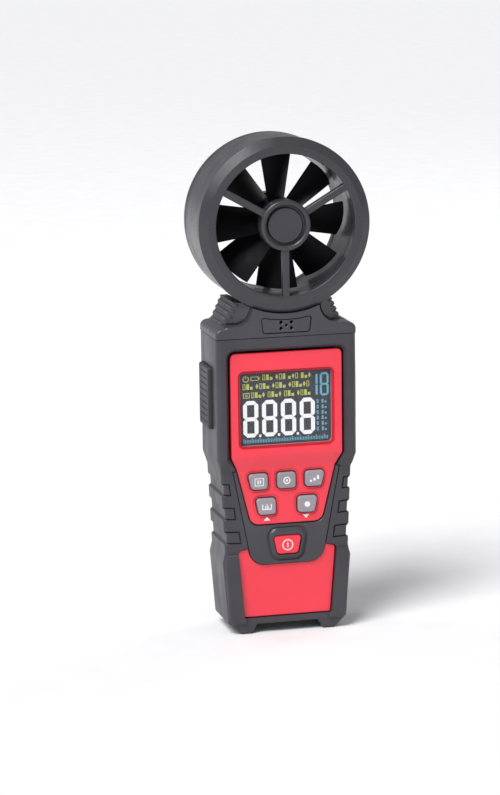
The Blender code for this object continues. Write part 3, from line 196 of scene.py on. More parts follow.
def moulded(name, dark, light, roughness, grain, depth, coat=0.0, swing=0.07, sheen=0.5):
    """Moulded plastic or rubber: a spark-eroded grain, faint shade drift and handling marks."""
    look, tree, shader = shading(name)
    drift = noise(tree, 42.0, 4.0)
    fine = noise(tree, grain, 2.0)
    smears = noise(tree, 150.0, 5.0, (1.0, 1.0, 0.35))
    tree.links.new(ramp(tree, drift, 0.3, 0.7, dark, light), shader.inputs["Base Color"])
    tree.links.new(
        spread(tree, smears, roughness - swing, roughness + swing), shader.inputs["Roughness"]
    )
    bumps(tree, shader, (fine, 0.55, depth), (noise(tree, 330.0, 1.0), 0.12, depth * 2))
    shader.inputs["Specular IOR Level"].default_value = sheen
    shader.inputs["Coat Weight"].default_value = coat
    shader.inputs["Coat Roughness"].default_value = 0.22
    return look


def printed(name, colour, glow=0.0):
    """Ink or a lit display mark, with the faint mottle of a screen print."""
    look, tree, shader = shading(name)
    mottle = noise(tree, 900.0, 2.0)
    shade = tuple(channel * 0.9 for channel in colour)
    tree.links.new(ramp(tree, mottle, 0.35, 0.65, shade, colour), shader.inputs["Base Color"])
    tree.links.new(spread(tree, mottle, 0.42, 0.52), shader.inputs["Roughness"])
    shader.inputs["Emission Color"].default_value = (*colour, 1.0)
    shader.inputs["Emission Strength"].default_value = glow
    return look


def metal(name, dark, light, roughness):
    """Turned or drawn metal, with fine tool lines and a little tarnish."""
    look, tree, shader = shading(name)
    lines = noise(tree, 2600.0, 2.0)
    tarnish = noise(tree, 260.0, 4.0)
    tree.links.new(ramp(tree, tarnish, 0.3, 0.7, dark, light), shader.inputs["Base Color"])
    tree.links.new(
        spread(tree, lines, roughness - 0.06, roughness + 0.09), shader.inputs["Roughness"]
    )
    bumps(tree, shader, (lines, 0.25, 0.01 * MM))
    shader.inputs["Metallic"].default_value = 1.0
    return look


def clear_pane():
    look, tree, shader = shading("window_acrylic")
    haze = noise(tree, 120.0, 4.0)
    tree.links.new(
        ramp(tree, haze, 0.3, 0.7, (0.05, 0.055, 0.07), (0.07, 0.075, 0.09)),
        shader.inputs["Base Color"],
    )
    tree.links.new(spread(tree, haze, 0.05, 0.1), shader.inputs["Roughness"])
    shader.inputs["Alpha"].default_value = 0.16
    return look


def lcd_cell():
    """The dark slate of the display, with the faint lattice of its electrodes."""
    look, tree, shader = shading("lcd_slate")
    place = tree.nodes.new("ShaderNodeTexCoord")
    lattice = tree.nodes.new("ShaderNodeTexVoronoi")
    lattice.inputs["Scale"].default_value = 900.0
    tree.links.new(place.outputs["Object"], lattice.inputs["Vector"])
    shades = ramp(
        tree, lattice.outputs["Distance"], 0.1, 0.7, (0.062, 0.058, 0.082), (0.074, 0.069, 0.096)
    )
    tree.links.new(shades, shader.inputs["Base Color"])
    tree.links.new(spread(tree, noise(tree, 140.0, 3.0), 0.14, 0.22), shader.inputs["Roughness"])
    return look


BUMPER_RUBBER = moulded(
    "bumper_rubber", (0.037, 0.0355, 0.044), (0.047, 0.0455, 0.055), 0.44, 2600.0, 0.05 * MM
)
PAD_RUBBER = moulded(
    "pad_rubber", (0.022, 0.022, 0.026), (0.03, 0.03, 0.034), 0.58, 2200.0, 0.06 * MM
)
CASE_PLASTIC = moulded(
    "case_plastic", (0.043, 0.0415, 0.05), (0.053, 0.051, 0.061), 0.4, 3200.0, 0.035 * MM
)
GUARD_PLASTIC = moulded(
    "guard_plastic", (0.035, 0.034, 0.041), (0.043, 0.042, 0.05), 0.34, 3400.0, 0.03 * MM
)
RED_PLASTIC = moulded(
    "red_plastic",
    (0.84, 0.018, 0.046),
    (0.91, 0.025, 0.058),
    0.32,
    2800.0,
    0.02 * MM,
    coat=0.5,
    swing=0.035,
)
BLADE_PLASTIC = moulded(
    "blade_plastic",
    (0.0035, 0.0035, 0.005),
    (0.006, 0.006, 0.008),
    0.5,
    1800.0,
    0.02 * MM,
    swing=0.1,
    sheen=0.16,
)
KEY_RUBBER = moulded(
    "key_rubber", (0.27, 0.25, 0.28), (0.33, 0.305, 0.34), 0.45, 3000.0, 0.03 * MM
)
WHITE_INK = printed("white_ink", (0.88, 0.87, 0.88))
# Painted shade: a dark crimson that stands in for the shadow on the floor of the display window's recess.
PANE_SHADE_CRIMSON = printed("painted_shade_crimson", (0.48, 0.004, 0.022))
DIGIT_WHITE = printed("digit_white", (0.95, 0.95, 0.96), 0.6)
MARK_GREEN = printed("mark_green", (0.72, 0.78, 0.16), 0.2)
MARK_CYAN = printed("mark_cyan", (0.2, 0.62, 0.78), 0.25)
WINDOW_ACRYLIC = clear_pane()
LCD_SLATE = lcd_cell()
SCREW_STEEL = metal("screw_steel", (0.5, 0.5, 0.52), (0.62, 0.62, 0.63), 0.3)
SOCKET_BRASS = metal("socket_brass", (0.62, 0.44, 0.16), (0.76, 0.56, 0.24), 0.3)
FERRITE = moulded("ferrite", (0.04, 0.04, 0.045), (0.055, 0.055, 0.06), 0.5, 1500.0, 0.03 * MM)
BOARD_GREEN = moulded(
    "board_resist", (0.012, 0.11, 0.045), (0.02, 0.16, 0.07), 0.4, 1200.0, 0.02 * MM
)
CHIP_EPOXY = moulded("chip_epoxy", (0.012, 0.012, 0.013), (0.02, 0.02, 0.022), 0.5, 2600.0, 0.03 * MM)
CELL_WRAP = moulded("cell_wrap", (0.08, 0.15, 0.28), (0.12, 0.2, 0.34), 0.3, 900.0, 0.01 * MM)
WHITE_MOULDING = moulded(
    "white_moulding", (0.68, 0.68, 0.66), (0.78, 0.78, 0.76), 0.4, 2400.0, 0.02 * MM
)
SILICONE = moulded("silicone", (0.22, 0.21, 0.23), (0.3, 0.29, 0.31), 0.62, 1800.0, 0.03 * MM)
SLEEVE = moulded("cable_sleeve", (0.014, 0.014, 0.015), (0.024, 0.024, 0.026), 0.48, 1400.0, 0.03 * MM)


# --------------------------------------------------------------- outlines


def mirrored(right_half):
    """A closed outline from its right half, which runs upwards from the bottom."""
    return list(right_half) + [(-x, z) for x, z in reversed(right_half) if x > 1e-9]


def oblong(x0, z0, x1, z1):
    return [(x0, z0), (x1, z0), (x1, z1), (x0, z1)]


def rounded(points, radii, steps=6):
    """The outline with an arc at each corner. radii is one radius, or one for each corner."""
    count = len(points)
    radii = [radii] * count if isinstance(radii, float) else radii
    made = []
    for i, (corner, radius) in enumerate(zip(points, radii)):
        corner = Vector(corner)
        to_before = Vector(points[i - 1]) - corner
        to_after = Vector(points[(i + 1) % count]) - corner
        half = to_before.angle(to_after) / 2
        if radius <= 0 or half > math.radians(88):
            made.append(tuple(corner))
            continue
        reach = min(radius / math.tan(half), 0.48 * to_before.length, 0.48 * to_after.length)
        radius = reach * math.tan(half)
        inward = (to_before.normalized() + to_after.normalized()).normalized()
        centre = corner + inward * (radius / math.sin(half))
        start = corner + to_before.normalized() * reach - centre
        end = corner + to_after.normalized() * reach - centre
        first = math.atan2(start.y, start.x)
        turn = math.remainder(math.atan2(end.y, end.x) - first, 2 * math.pi)
        for k in range(steps + 1):
            angle = first + turn * k / steps
            made.append((centre.x + radius * math.cos(angle), centre.y + radius * math.sin(angle)))
    return made


def grown(points, by):
    """The anticlockwise outline moved outwards by that much, or inwards where it is negative."""
    made = []
    for i, point in enumerate(points):
        here = Vector(point)
        a = (here - Vector(points[i - 1])).normalized()
        b = (Vector(points[(i + 1) % len(points)]) - here).normalized()
        out_a, out_b = Vector((a.y, -a.x)), Vector((b.y, -b.x))
        made.append(tuple(here + (out_a + out_b) * (by / (1 + out_a.dot(out_b)))))
    return made


def flipped(outline):
    """The same outline on the left-hand side."""
    return [(-x, z) for x, z in reversed(outline)]


def arc(x, z, radius, start, turn, count):
    """Points along an arc, count steps long."""
    angles = [start + turn * k / count for k in range(count + 1)]
    return [(x + radius * math.cos(angle), z + radius * math.sin(angle)) for angle in angles]


def disc(x, z, radius, count=32):
    return arc(x, z, radius, 0.0, 2 * math.pi, count)[:-1]


def rim(x0, z0, x1, z1, wide):
    """The four strips of a rectangular rim: foot, top, left and right."""
    strips = [oblong(x0, z0, x1, z0 + wide), oblong(x0, z1 - wide, x1, z1)]
    strips += [oblong(x0, z0 + wide, x0 + wide, z1 - wide), oblong(x1 - wide, z0 + wide, x1, z1 - wide)]
    return strips


WINDOW_OUTLINE = rounded(oblong(WINDOW_LOW.x, WINDOW_LOW.z, WINDOW_HIGH.x, WINDOW_HIGH.z), 1.2 * MM)
DOOR_OUTLINE = rounded(oblong(DOOR_LOW.x, DOOR_LOW.z, DOOR_HIGH.x, DOOR_HIGH.z), 1.2 * MM)


# --------------------------------------------------------------- modelling


def deselect():
    bpy.ops.object.select_all(action="DESELECT")


def take(piece):
    """Selects that piece and no other."""
    deselect()
    piece.select_set(True)
    bpy.context.view_layer.objects.active = piece


def sketch(name, points):
    """A face whose edge runs through the points, in a new piece that is left in edit mode."""
    deselect()
    bpy.ops.mesh.primitive_plane_add(size=MM, location=points[0])
    piece = bpy.context.object
    piece.name = piece.data.name = name
    bpy.ops.object.transform_apply(location=True, rotation=True, scale=True)
    bpy.ops.object.mode_set(mode="EDIT")
    bpy.ops.mesh.select_mode(type="VERT")
    bpy.ops.mesh.select_all(action="SELECT")
    bpy.ops.mesh.merge(type="CENTER")
    for before, after in zip(points, points[1:]):
        step = Vector(after) - Vector(before)
        bpy.ops.mesh.extrude_region_move(TRANSFORM_OT_translate={"value": step})
    bpy.ops.mesh.select_all(action="SELECT")
    bpy.ops.mesh.edge_face_add()
    return piece


def turn_outwards():
    bpy.ops.mesh.select_all(action="SELECT")
    bpy.ops.mesh.normals_make_consistent(inside=False)


def pick_faces(piece, rule):
    """Selects the faces whose corners all meet the rule, in edit mode."""
    bpy.ops.object.mode_set(mode="OBJECT")
    mesh = piece.data
    for part in (mesh.vertices, mesh.edges, mesh.polygons):
        part.foreach_set("select", [False] * len(part))
    for face in mesh.polygons:
        face.select = all(rule(mesh.vertices[corner].co) for corner in face.vertices)
    bpy.context.tool_settings.mesh_select_mode = (False, False, True)
    bpy.ops.object.mode_set(mode="EDIT")


def round_over(radius, steps=4):
    """Steps of (narrowing, advance) that round an edge off."""
    turn = math.pi / 2 / steps
    return [
        (
            radius * (math.cos(turn * k) - math.cos(turn * (k + 1))),
            radius * (math.sin(turn * (k + 1)) - math.sin(turn * k)),
        )
        for k in range(steps)
    ]


def work_end(piece, y, steps, way):
    """Insets the end face at y, step by step, as it moves on along Y."""
    pick_faces(piece, lambda point: abs(point.y - y) < 0.001 * MM)
    for narrowing, advance in steps:
        if narrowing:
            bpy.ops.mesh.inset(thickness=narrowing, depth=advance)
        else:
            bpy.ops.mesh.extrude_region_move(TRANSFORM_OT_translate={"value": (0, way * advance, 0)})


def slab(name, outline, front, rear, over=(), under=()):
    """A slab with that outline in x and z. Its front edge is worked by over, its rear edge by under."""
    start = front + sum(advance for _, advance in over)
    end = rear - sum(advance for _, advance in under)
    piece = sketch(name, [(x, start, z) for x, z in outline])
    bpy.ops.mesh.extrude_region_move(TRANSFORM_OT_translate={"value": (0, end - start, 0)})
    turn_outwards()
    if over:
        work_end(piece, start, over, -1)
    if under:
        work_end(piece, end, under, 1)
    bpy.ops.object.mode_set(mode="OBJECT")
    return piece


def bar(name, section):
    """A bar from flank to flank whose section is drawn in y and z."""
    piece = sketch(name, [(-FLANK_REACH, y, z) for y, z in section])
    bpy.ops.mesh.extrude_region_move(TRANSFORM_OT_translate={"value": (2 * FLANK_REACH, 0, 0)})
    turn_outwards()
    bpy.ops.object.mode_set(mode="OBJECT")
    return piece


def turned(name, profile, x=0.0, z=FAN_Z, steps=96):
    """A piece spun about a line along Y. The profile is drawn as (radius, y) and closes on itself."""
    piece = sketch(name, [(x + radius, y, z) for radius, y in profile])
    bpy.ops.mesh.delete(type="ONLY_FACE")
    bpy.ops.mesh.select_all(action="SELECT")
    bpy.ops.mesh.spin(steps=steps, angle=2 * math.pi, center=(x, 0, z), axis=(0, 1, 0))
    bpy.ops.mesh.select_all(action="SELECT")
    bpy.ops.mesh.remove_doubles(threshold=0.001 * MM)
    bpy.ops.mesh.delete_loose()
    turn_outwards()
    bpy.ops.object.mode_set(mode="OBJECT")
    return piece


def plug(name, radius, front, rear, **place):
    """A plain cylinder along Y."""
    return turned(name, [(0, front), (radius, front), (radius, rear), (0, rear)], **place)


def apply_modifier(piece, kind, **settings):
    take(piece)
    modifier = piece.modifiers.new(kind.lower(), kind)
    for key, value in settings.items():
        setattr(modifier, key, value)
    bpy.ops.object.modifier_apply(modifier=modifier.name)


def combine(piece, operation, tools):
    for tool in tools:
        apply_modifier(piece, "BOOLEAN", operation=operation, object=tool, solver="MANIFOLD")
        bpy.data.objects.remove(tool, do_unlink=True)


def carve(piece, *tools):
    combine(piece, "DIFFERENCE", tools)


def weld(piece, *tools):
    combine(piece, "UNION", tools)


def gather(name, pieces):
    """Several pieces as one object."""
    deselect()
    for piece in pieces:
        piece.select_set(True)
    bpy.context.view_layer.objects.active = pieces[0]
    bpy.ops.object.join()
    pieces[0].name = pieces[0].data.name = name
    return pieces[0]


def turned_copy(piece, angle):
    """A copy of the piece with its own mesh, turned about the fan's shaft."""
    take(piece)
    bpy.ops.object.duplicate(linked=False)
    copy = bpy.context.object
    bpy.ops.transform.rotate(value=angle, orient_axis="Y", center_override=(0, 0, FAN_Z))
    bpy.ops.object.transform_apply(location=True, rotation=True, scale=True)
    return copy


def finish(piece, look, slot, body, *nodes, angle=32.0):
    take(piece)
    bpy.ops.object.shade_smooth_by_angle(angle=math.radians(angle))
    apply_modifier(piece, "WEIGHTED_NORMAL", keep_sharp=True)
    piece.data.materials.clear()
    piece.data.materials.append(look)
    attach(piece, body)
    if nodes:
        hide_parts(*nodes)
    return piece


# -------------------------------------------------------------- fan head


def spokes(name, r0, r1, y0, y1, over, under):
    """The three spokes of a guard, the first straight down."""
    outline = oblong(-SPOKE_W / 2, FAN_Z - r1, SPOKE_W / 2, FAN_Z - r0)
    first = slab(name, outline, y0, y1, over, under)
    others = [turned_copy(first, turn * 2 * math.pi / 3) for turn in (1, 2)]
    return [first, *others]


def front_guard():
    face = GUARD_FRONT_Y
    bevel_r, bevel_y = GUARD_R - 3.5 * MM, face + 2.2 * MM
    profile = rounded(
        [
            (BORE_R, GUARD_REAR_Y),
            (BORE_R, face + 0.1 * MM),
            (BORE_R + 0.9 * MM, face),
            (bevel_r, face),
            (GUARD_R, bevel_y),
            (GUARD_R, GUARD_REAR_Y),
        ],
        [0.0, 0.4 * MM, 0.4 * MM, 0.5 * MM, 0.5 * MM, 0.15 * MM],
        4,
    )
    ring = turned("front_guard_ring", profile, steps=160)
    brow, seat = low("front_guard").y, low("hub_cap").y + 1.8 * MM
    brow_inner = HUB_CAP_R + 0.9 * MM
    hub_profile = rounded(
        [
            (0, seat),
            (HUB_CAP_R + GAP, seat),
            (HUB_CAP_R + GAP, brow + 2.4 * MM),
            (brow_inner, brow + 2.3 * MM),
            (brow_inner, brow),
            (HUB_R, brow),
            (HUB_R, brow + 6.0 * MM),
            (0, brow + 6.0 * MM),
        ],
        [0.0, 0.0, 0.0, 0.2 * MM, 1.0 * MM, 1.1 * MM, 0.3 * MM, 0.0],
        6,
    )
    hub = turned("front_guard_hub", hub_profile, steps=96)
    arms = spokes(
        "front_guard_spoke",
        HUB_R - 1.2 * MM,
        BORE_R + 1.5 * MM,
        face + 0.3 * MM,
        face + 3.9 * MM,
        round_over(0.5 * MM, 3),
        round_over(0.8 * MM, 3),
    )
    weld(ring, hub, *arms)
    return finish(ring, GUARD_PLASTIC, "grey_plastic", "meter", "front_guard")


def hub_cap():
    face, back = low("hub_cap").y, high("hub_cap").y
    profile = rounded(
        [
            (0, face + 0.75 * MM),
            (HUB_CAP_R - 2.0 * MM, face + 0.4 * MM),
            (HUB_CAP_R - 0.2 * MM, face + 0.3 * MM),
            (HUB_CAP_R, back),
            (0, back),
        ],
        [0.0, 3.0 * MM, 0.4 * MM, 0.0, 0.0],
        5,
    )
    cap = turned("hub_cap_disc", profile, steps=96)
    return finish(cap, GUARD_PLASTIC, "grey_plastic", "meter", "hub_cap")


def fan_duct():
    front, rear = DUCT_Y
    lip = 0.5 * MM
    groove = 0.35 * MM
    outer = [(DUCT_R, front + 0.3 * MM)]
    for y in (front + 2.0 * MM, rear - 2.0 * MM):
        outer += [(DUCT_R, y - groove), (DUCT_R - groove, y), (DUCT_R, y + groove)]
    profile = [(BORE_R + 0.3 * MM, front), (DUCT_R - 0.3 * MM, front), *outer]
    profile += [(DUCT_R, rear - 0.3 * MM), (DUCT_R - 0.3 * MM, rear), (BORE_R + lip, rear)]
    profile += [(BORE_R, rear - lip), (BORE_R, front + 0.3 * MM)]
    duct = turned("fan_duct_ring", profile, steps=160)
    lug_foot = low("fan_duct").z
    lug = slab(
        "fan_duct_foot",
        oblong(-LUG_HALF_W, lug_foot, LUG_HALF_W, FAN_Z - DUCT_R + 1.0 * MM),
        -LUG_HALF_DEPTH,
        LUG_HALF_DEPTH,
        round_over(0.4 * MM, 2),
        round_over(0.4 * MM, 2),
    )
    weld(duct, lug)
    return finish(duct, GUARD_PLASTIC, "grey_plastic", "meter", "fan_duct")


def rear_guard():
    front, rear = REAR_GUARD_Y
    profile = rounded(
        [
            (BORE_R, front),
            (DUCT_R, front),
            (DUCT_R, rear),
            (BORE_R, rear),
        ],
        [0.0, 0.2 * MM, 1.5 * MM, 0.6 * MM],
        5,
    )
    ring = turned("rear_guard_ring", profile, steps=160)
    hub_front = low("rear_guard").y
    bearing_r = radius_of("rear_bearing") + GAP
    collar_r, wall_r = bearing_r + 0.9 * MM, HUB_R - 1.3 * MM
    hub_profile = rounded(
        [
            (0, hub_front + 2.7 * MM),
            (bearing_r, hub_front + 2.7 * MM),
            (bearing_r, hub_front),
            (collar_r, hub_front),
            (collar_r, hub_front + 2.0 * MM),
            (wall_r, hub_front + 2.0 * MM),
            (wall_r, hub_front),
            (HUB_R, hub_front),
            (HUB_R, rear + 0.4 * MM),
            (HUB_R - 2.4 * MM, rear + 0.4 * MM),
            (HUB_R - 3.2 * MM, rear - 0.1 * MM),
            (0, rear + 0.1 * MM),
        ],
        [0.0] * 8 + [0.8 * MM, 0.3 * MM, 0.3 * MM, 0.0],
        4,
    )
    hub = turned("rear_guard_hub", hub_profile, steps=96)
    arms = spokes(
        "rear_guard_spoke",
        HUB_R - 1.1 * MM,
        BORE_R + 1.5 * MM,
        rear - 2.5 * MM,
        rear - 0.3 * MM,
        round_over(0.8 * MM, 3),
        round_over(0.4 * MM, 3),
    )
    weld(ring, hub, *arms)
    return finish(ring, GUARD_PLASTIC, "grey_plastic", "meter", "rear_guard")


def fan_blade():
    """The upright blade: a chord drawn at the root, extruded outwards in steps that widen it."""
    axis_y = (ROTOR_Y[0] + ROTOR_Y[1]) / 2
    root_r, axial = ROTOR_R - 0.9 * MM, 10.0 * MM
    root_w, tip_w = 8.6 * MM, 14.9 * MM
    chord, spans = 8, 8
    rise = (TIP_R + 1.2 * MM - root_r) / spans
    camber = 0.9 * MM
    points = []
    for k in range(chord + 1):
        share = k / chord - 0.5
        hollow = camber * (1 - 4 * share * share)
        points.append((share * root_w + hollow * 0.5, axis_y + share * axial - hollow, FAN_Z + root_r))
    blade = sketch("fan_blade", points)
    bpy.ops.mesh.delete(type="ONLY_FACE")
    bpy.ops.object.mode_set(mode="OBJECT")
    closing = max(blade.data.edges, key=lambda edge: edge_length(blade.data, edge))
    for part in (blade.data.vertices, blade.data.edges):
        part.foreach_set("select", [False] * len(part))
    closing.select = True
    bpy.context.tool_settings.mesh_select_mode = (False, True, False)
    bpy.ops.object.mode_set(mode="EDIT")
    bpy.ops.mesh.delete(type="EDGE_FACE")
    bpy.ops.mesh.select_all(action="SELECT")
    width = root_w
    for step in range(spans):
        bpy.ops.mesh.extrude_region_move(TRANSFORM_OT_translate={"value": (0, 0, rise)})
        wider = root_w + (tip_w - root_w) * (step + 1) / spans
        centre = (0, axis_y, FAN_Z + root_r + rise * (step + 1))
        bpy.ops.transform.resize(value=(wider / width, 1, 1), center_override=centre)
        width = wider
    bpy.ops.object.mode_set(mode="OBJECT")
    apply_modifier(blade, "SOLIDIFY", thickness=1.0 * MM, offset=0.0)
    trim = plug("blade_trim", TIP_R, axis_y - 9 * MM, axis_y + 9 * MM, steps=160)
    combine(blade, "INTERSECT", [trim])
    return blade


def edge_length(mesh, edge):
    a, b = (mesh.vertices[end].co for end in edge.vertices)
    return (a - b).length


def impeller():
    front, rear = ROTOR_Y
    wall = 1.5 * MM
    shaft_room = radius_of("fan_shaft") + GAP
    profile = rounded(
        [
            (shaft_room, front),
            (ROTOR_R, front),
            (ROTOR_R, rear),
            (ROTOR_R - wall, rear),
            (ROTOR_R - wall, front + 1.8 * MM),
            (shaft_room + wall, front + 1.8 * MM),
            (shaft_room + wall, rear),
            (shaft_room, rear),
        ],
        [0.0, 0.8 * MM, 0.3 * MM, 0.3 * MM, 0.0, 0.0, 0.0, 0.0],
        4,
    )
    wheel = turned("fan_wheel", profile, steps=96)
    first = fan_blade()
    turns = [2 * math.pi * k / BLADES for k in range(1, BLADES)]
    blades = [first] + [turned_copy(first, turn) for turn in turns]
    weld(wheel, *blades)
    return finish(wheel, BLADE_PLASTIC, "blade_plastic", "fan", "impeller")


# ------------------------------------------------------------- outer case

CORE_HALF_W = BODY_HALF_W - BUMPER_WALL
CORE_OUTLINE = rounded(
    mirrored(
        [
            (RAIL_HALF_W - BUMPER_WALL - 3.6 * MM, 6.2 * MM),
            (RAIL_HALF_W - BUMPER_WALL - 0.5 * MM, 9.2 * MM),
            (RAIL_HALF_W - BUMPER_WALL + 0.1 * MM, RAIL_TOP_Z),
            (WAIST_HALF_W - BUMPER_WALL - 0.5 * MM, WAIST_Z - 0.5 * MM),
            (CORE_HALF_W, SHOULDER_Z + 0.5 * MM),
            (CORE_HALF_W, BODY_TOP_Z + GAP),
        ]
    ),
    2.6 * MM,
    4,
)
CAP_OUTLINE = rounded(
    mirrored([(BODY_HALF_W, BODY_TOP_Z - 3 * MM), (BODY_HALF_W, CAP_TOP_Z), NECK_FOOT, NECK_TOP]),
    [0.0, 2.6 * MM, 1.2 * MM, 0.0, 0.0, 1.2 * MM, 2.6 * MM, 0.0],
)
JOINT = 0.22 * MM
NECK_INNER = oblong(-15 * MM, BODY_TOP_Z - 9.6 * MM, 15 * MM, BODY_TOP_Z + 8.0 * MM)
TEETH = 4
TOOTH_DEPTH, TOOTH_W = 0.7 * MM, 1.1 * MM


def all_below(z, name):
    """Everything below that height."""
    return slab(name, oblong(-50 * MM, z - 60 * MM, 50 * MM, z), -40 * MM, 40 * MM)


def all_above(z, name):
    """Everything above that height."""
    return slab(name, oblong(-50 * MM, z, 50 * MM, z + 60 * MM), -40 * MM, 40 * MM)


# The slant edge at the right of the neck: its foot, its direction and the way out of it
SLANT_FOOT = Vector(NECK_FOOT)
SLANT = Vector(NECK_TOP) - SLANT_FOOT
ALONG = SLANT.normalized()
OUT = Vector((ALONG.y, -ALONG.x))


def neck_notches():
    """The grooves across the slant edges of the neck, which make them finger grips."""
    tools = []
    for side in (-1, 1):
        for number in range(TEETH):
            start = SLANT_FOOT + ALONG * (SLANT.length * (number + 0.35) / TEETH)
            deep, open_end = -OUT * TOOTH_DEPTH, OUT * 2 * MM
            corners = [
                start + deep,
                start + ALONG * TOOTH_W + deep,
                start + ALONG * TOOTH_W * 1.3 + open_end,
                start - ALONG * TOOTH_W * 0.3 + open_end,
            ]
            outline = [(side * corner.x, corner.y) for corner in corners]
            tools.append(slab(f"neck_notch_{side}_{number}", outline, -25 * MM, 25 * MM))
    return tools


def ring_room():
    return plug("ring_room", GUARD_R + GAP, -20 * MM, 20 * MM, steps=160)


def lug_room():
    half, foot = LUG_HALF_W + GAP, low("fan_duct").z - GAP
    outline = oblong(-half, foot, half, FAN_Z - DUCT_R + 3.0 * MM)
    return slab("lug_room", outline, -LUG_HALF_DEPTH - GAP, LUG_HALF_DEPTH + GAP)


POCKET_INNER = NECK_FOOT[0] - 11.4 * MM
POCKET_Y = NECK_Y + 0.8 * MM
POCKET_FALL = 0.62
POCKET = [(0.0, 15.4), (0.7, 10.4), (2.2, 7.2), (5.2, 5.2), (13.8, 4.6), (13.8, 15.4)]


def neck_pocket(side):
    """The scooped finger recess at one side of the neck, its floor falling away outwards."""
    corners = [(side * (POCKET_INNER + x * MM), BODY_TOP_Z + z * MM) for x, z in POCKET]
    radii = [0.0, 3.0 * MM, 3.0 * MM, 3.0 * MM, 0.0, 0.0]
    outline = rounded(corners, radii, 5)
    if side < 0:
        outline.reverse()
    scoop = slab(f"neck_pocket_{side}", outline, -22 * MM, POCKET_Y)
    border = slab(f"pocket_border_{side}", outline, -22 * MM, NECK_Y + 1.7 * MM)
    inside = [(x + side * 0.8 * MM, z + 0.8 * MM) for x, z in outline]
    carve(border, slab(f"pocket_floor_{side}", inside, -24 * MM, NECK_Y + 4 * MM))
    for tool in (scoop, border):
        for vertex in tool.data.vertices:
            if vertex.co.y > NECK_Y - 1 * MM:
                vertex.co.y += max(0.0, abs(vertex.co.x) - POCKET_INNER) * POCKET_FALL
    return [scoop, border]


def pocket_ribs(side):
    """Low pairs of ribs on the pocket's floor, beside the toothed edge."""
    ribs = []
    for number in range(TEETH):
        start = SLANT_FOOT + ALONG * (SLANT.length * (number + 0.78) / TEETH) - OUT * 0.9 * MM
        end = start - OUT * 2.6 * MM
        half = ALONG * 0.32 * MM
        corners = [start - half, start + half, end + half, end - half]
        outline = [(side * corner.x, corner.y) for corner in corners]
        floor = POCKET_Y + (abs(start.x) - POCKET_INNER) * POCKET_FALL
        name = f"pocket_rib_{side}_{number}"
        ribs.append(slab(name, outline, floor - 0.9 * MM, floor + 1.5 * MM, round_over(0.25 * MM, 2)))
    return ribs


SENSOR_LOW, SENSOR_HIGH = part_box("sensor_cover")
SENSOR_OUTLINE = rounded(
    mirrored(
        [
            (9.4 * MM, SENSOR_LOW.z),
            (SENSOR_HIGH.x, SENSOR_HIGH.z),
            (5.5 * MM, SENSOR_HIGH.z - 0.9 * MM),
            (0, SENSOR_HIGH.z - 1.2 * MM),
        ]
    ),
    [1.0 * MM, 1.0 * MM, 0.6 * MM, 0.0, 0.6 * MM, 1.0 * MM, 1.0 * MM],
    4,
)
SENSOR_HOLE_Z = SENSOR_LOW.z + 2.9 * MM
SENSOR_HOLES = [
    (0, 0, 0.55 * MM),
    (-2.15 * MM, 1.2 * MM, 0.65 * MM),
    (2.15 * MM, 1.2 * MM, 0.65 * MM),
    (-2.15 * MM, -1.2 * MM, 0.65 * MM),
    (2.15 * MM, -1.2 * MM, 0.65 * MM),
]
HOLDER_LOW, HOLDER_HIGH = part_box("lcd_holder")
KEY_FLANGE = 0.9 * MM


def front_case():
    case = slab("front_case_shell", CORE_OUTLINE, CASE_Y, -GAP / 2, round_over(0.3 * MM, 2))
    cap = slab("front_case_cap", CAP_OUTLINE, NECK_Y, -GAP / 2, round_over(1.3 * MM))
    carve(cap, all_below(BODY_TOP_Z + JOINT, "cap_joint"))
    weld(case, cap)
    cavity = slab("front_cavity", grown(CORE_OUTLINE, -CASE_WALL), CASE_Y + CASE_WALL, MM)
    neck_cavity = slab("neck_cavity", NECK_INNER, NECK_Y + 3.4 * MM, MM)
    pockets = [*neck_pocket(-1), *neck_pocket(1)]
    carve(case, cavity, neck_cavity, *pockets)
    for side in (-1, 1):
        weld(case, *pocket_ribs(side))
    carve(case, ring_room(), lug_room())
    sensor_room = slab("sensor_room", grown(SENSOR_OUTLINE, GAP), NECK_Y - 2 * MM, SENSOR_HIGH.y + GAP)
    way = oblong(-4 * MM, SENSOR_HOLE_Z - 2.1 * MM, 4 * MM, SENSOR_HOLE_Z + 1.9 * MM)
    sensor_way = slab("sensor_way", way, NECK_Y, NECK_Y + 4 * MM)
    holder_room = slab(
        "holder_room",
        oblong(HOLDER_LOW.x - GAP, HOLDER_LOW.z - GAP, HOLDER_HIGH.x + GAP, HOLDER_HIGH.z + GAP),
        CASE_Y - MM,
        CASE_Y + CASE_WALL + MM,
    )
    carve(case, sensor_room, sensor_way, holder_room, *neck_notches())
    for name, outline in KEY_OUTLINES.items():
        room = grown(outline, KEY_FLANGE + 2 * GAP)
        carve(case, slab(f"{name}_case_room", room, CASE_Y - MM, CASE_Y + CASE_WALL + MM))
    return finish(case, CASE_PLASTIC, "grey_plastic", "meter", "front_case")


def sensor_cover():
    cover = slab("sensor_cover_plate", SENSOR_OUTLINE, SENSOR_LOW.y, SENSOR_HIGH.y, round_over(0.25 * MM, 3))
    flare = 0.18 * MM
    for x, z, radius in SENSOR_HOLES:
        profile = [(0, SENSOR_LOW.y - MM), (radius + flare + MM, SENSOR_LOW.y - MM)]
        profile += [(radius, SENSOR_LOW.y + flare), (radius, SENSOR_HIGH.y + MM), (0, SENSOR_HIGH.y + MM)]
        carve(cover, turned("sensor_hole", profile, x=x, z=SENSOR_HOLE_Z + z, steps=24))
    return finish(cover, CASE_PLASTIC, "grey_plastic", "meter", "sensor_cover")


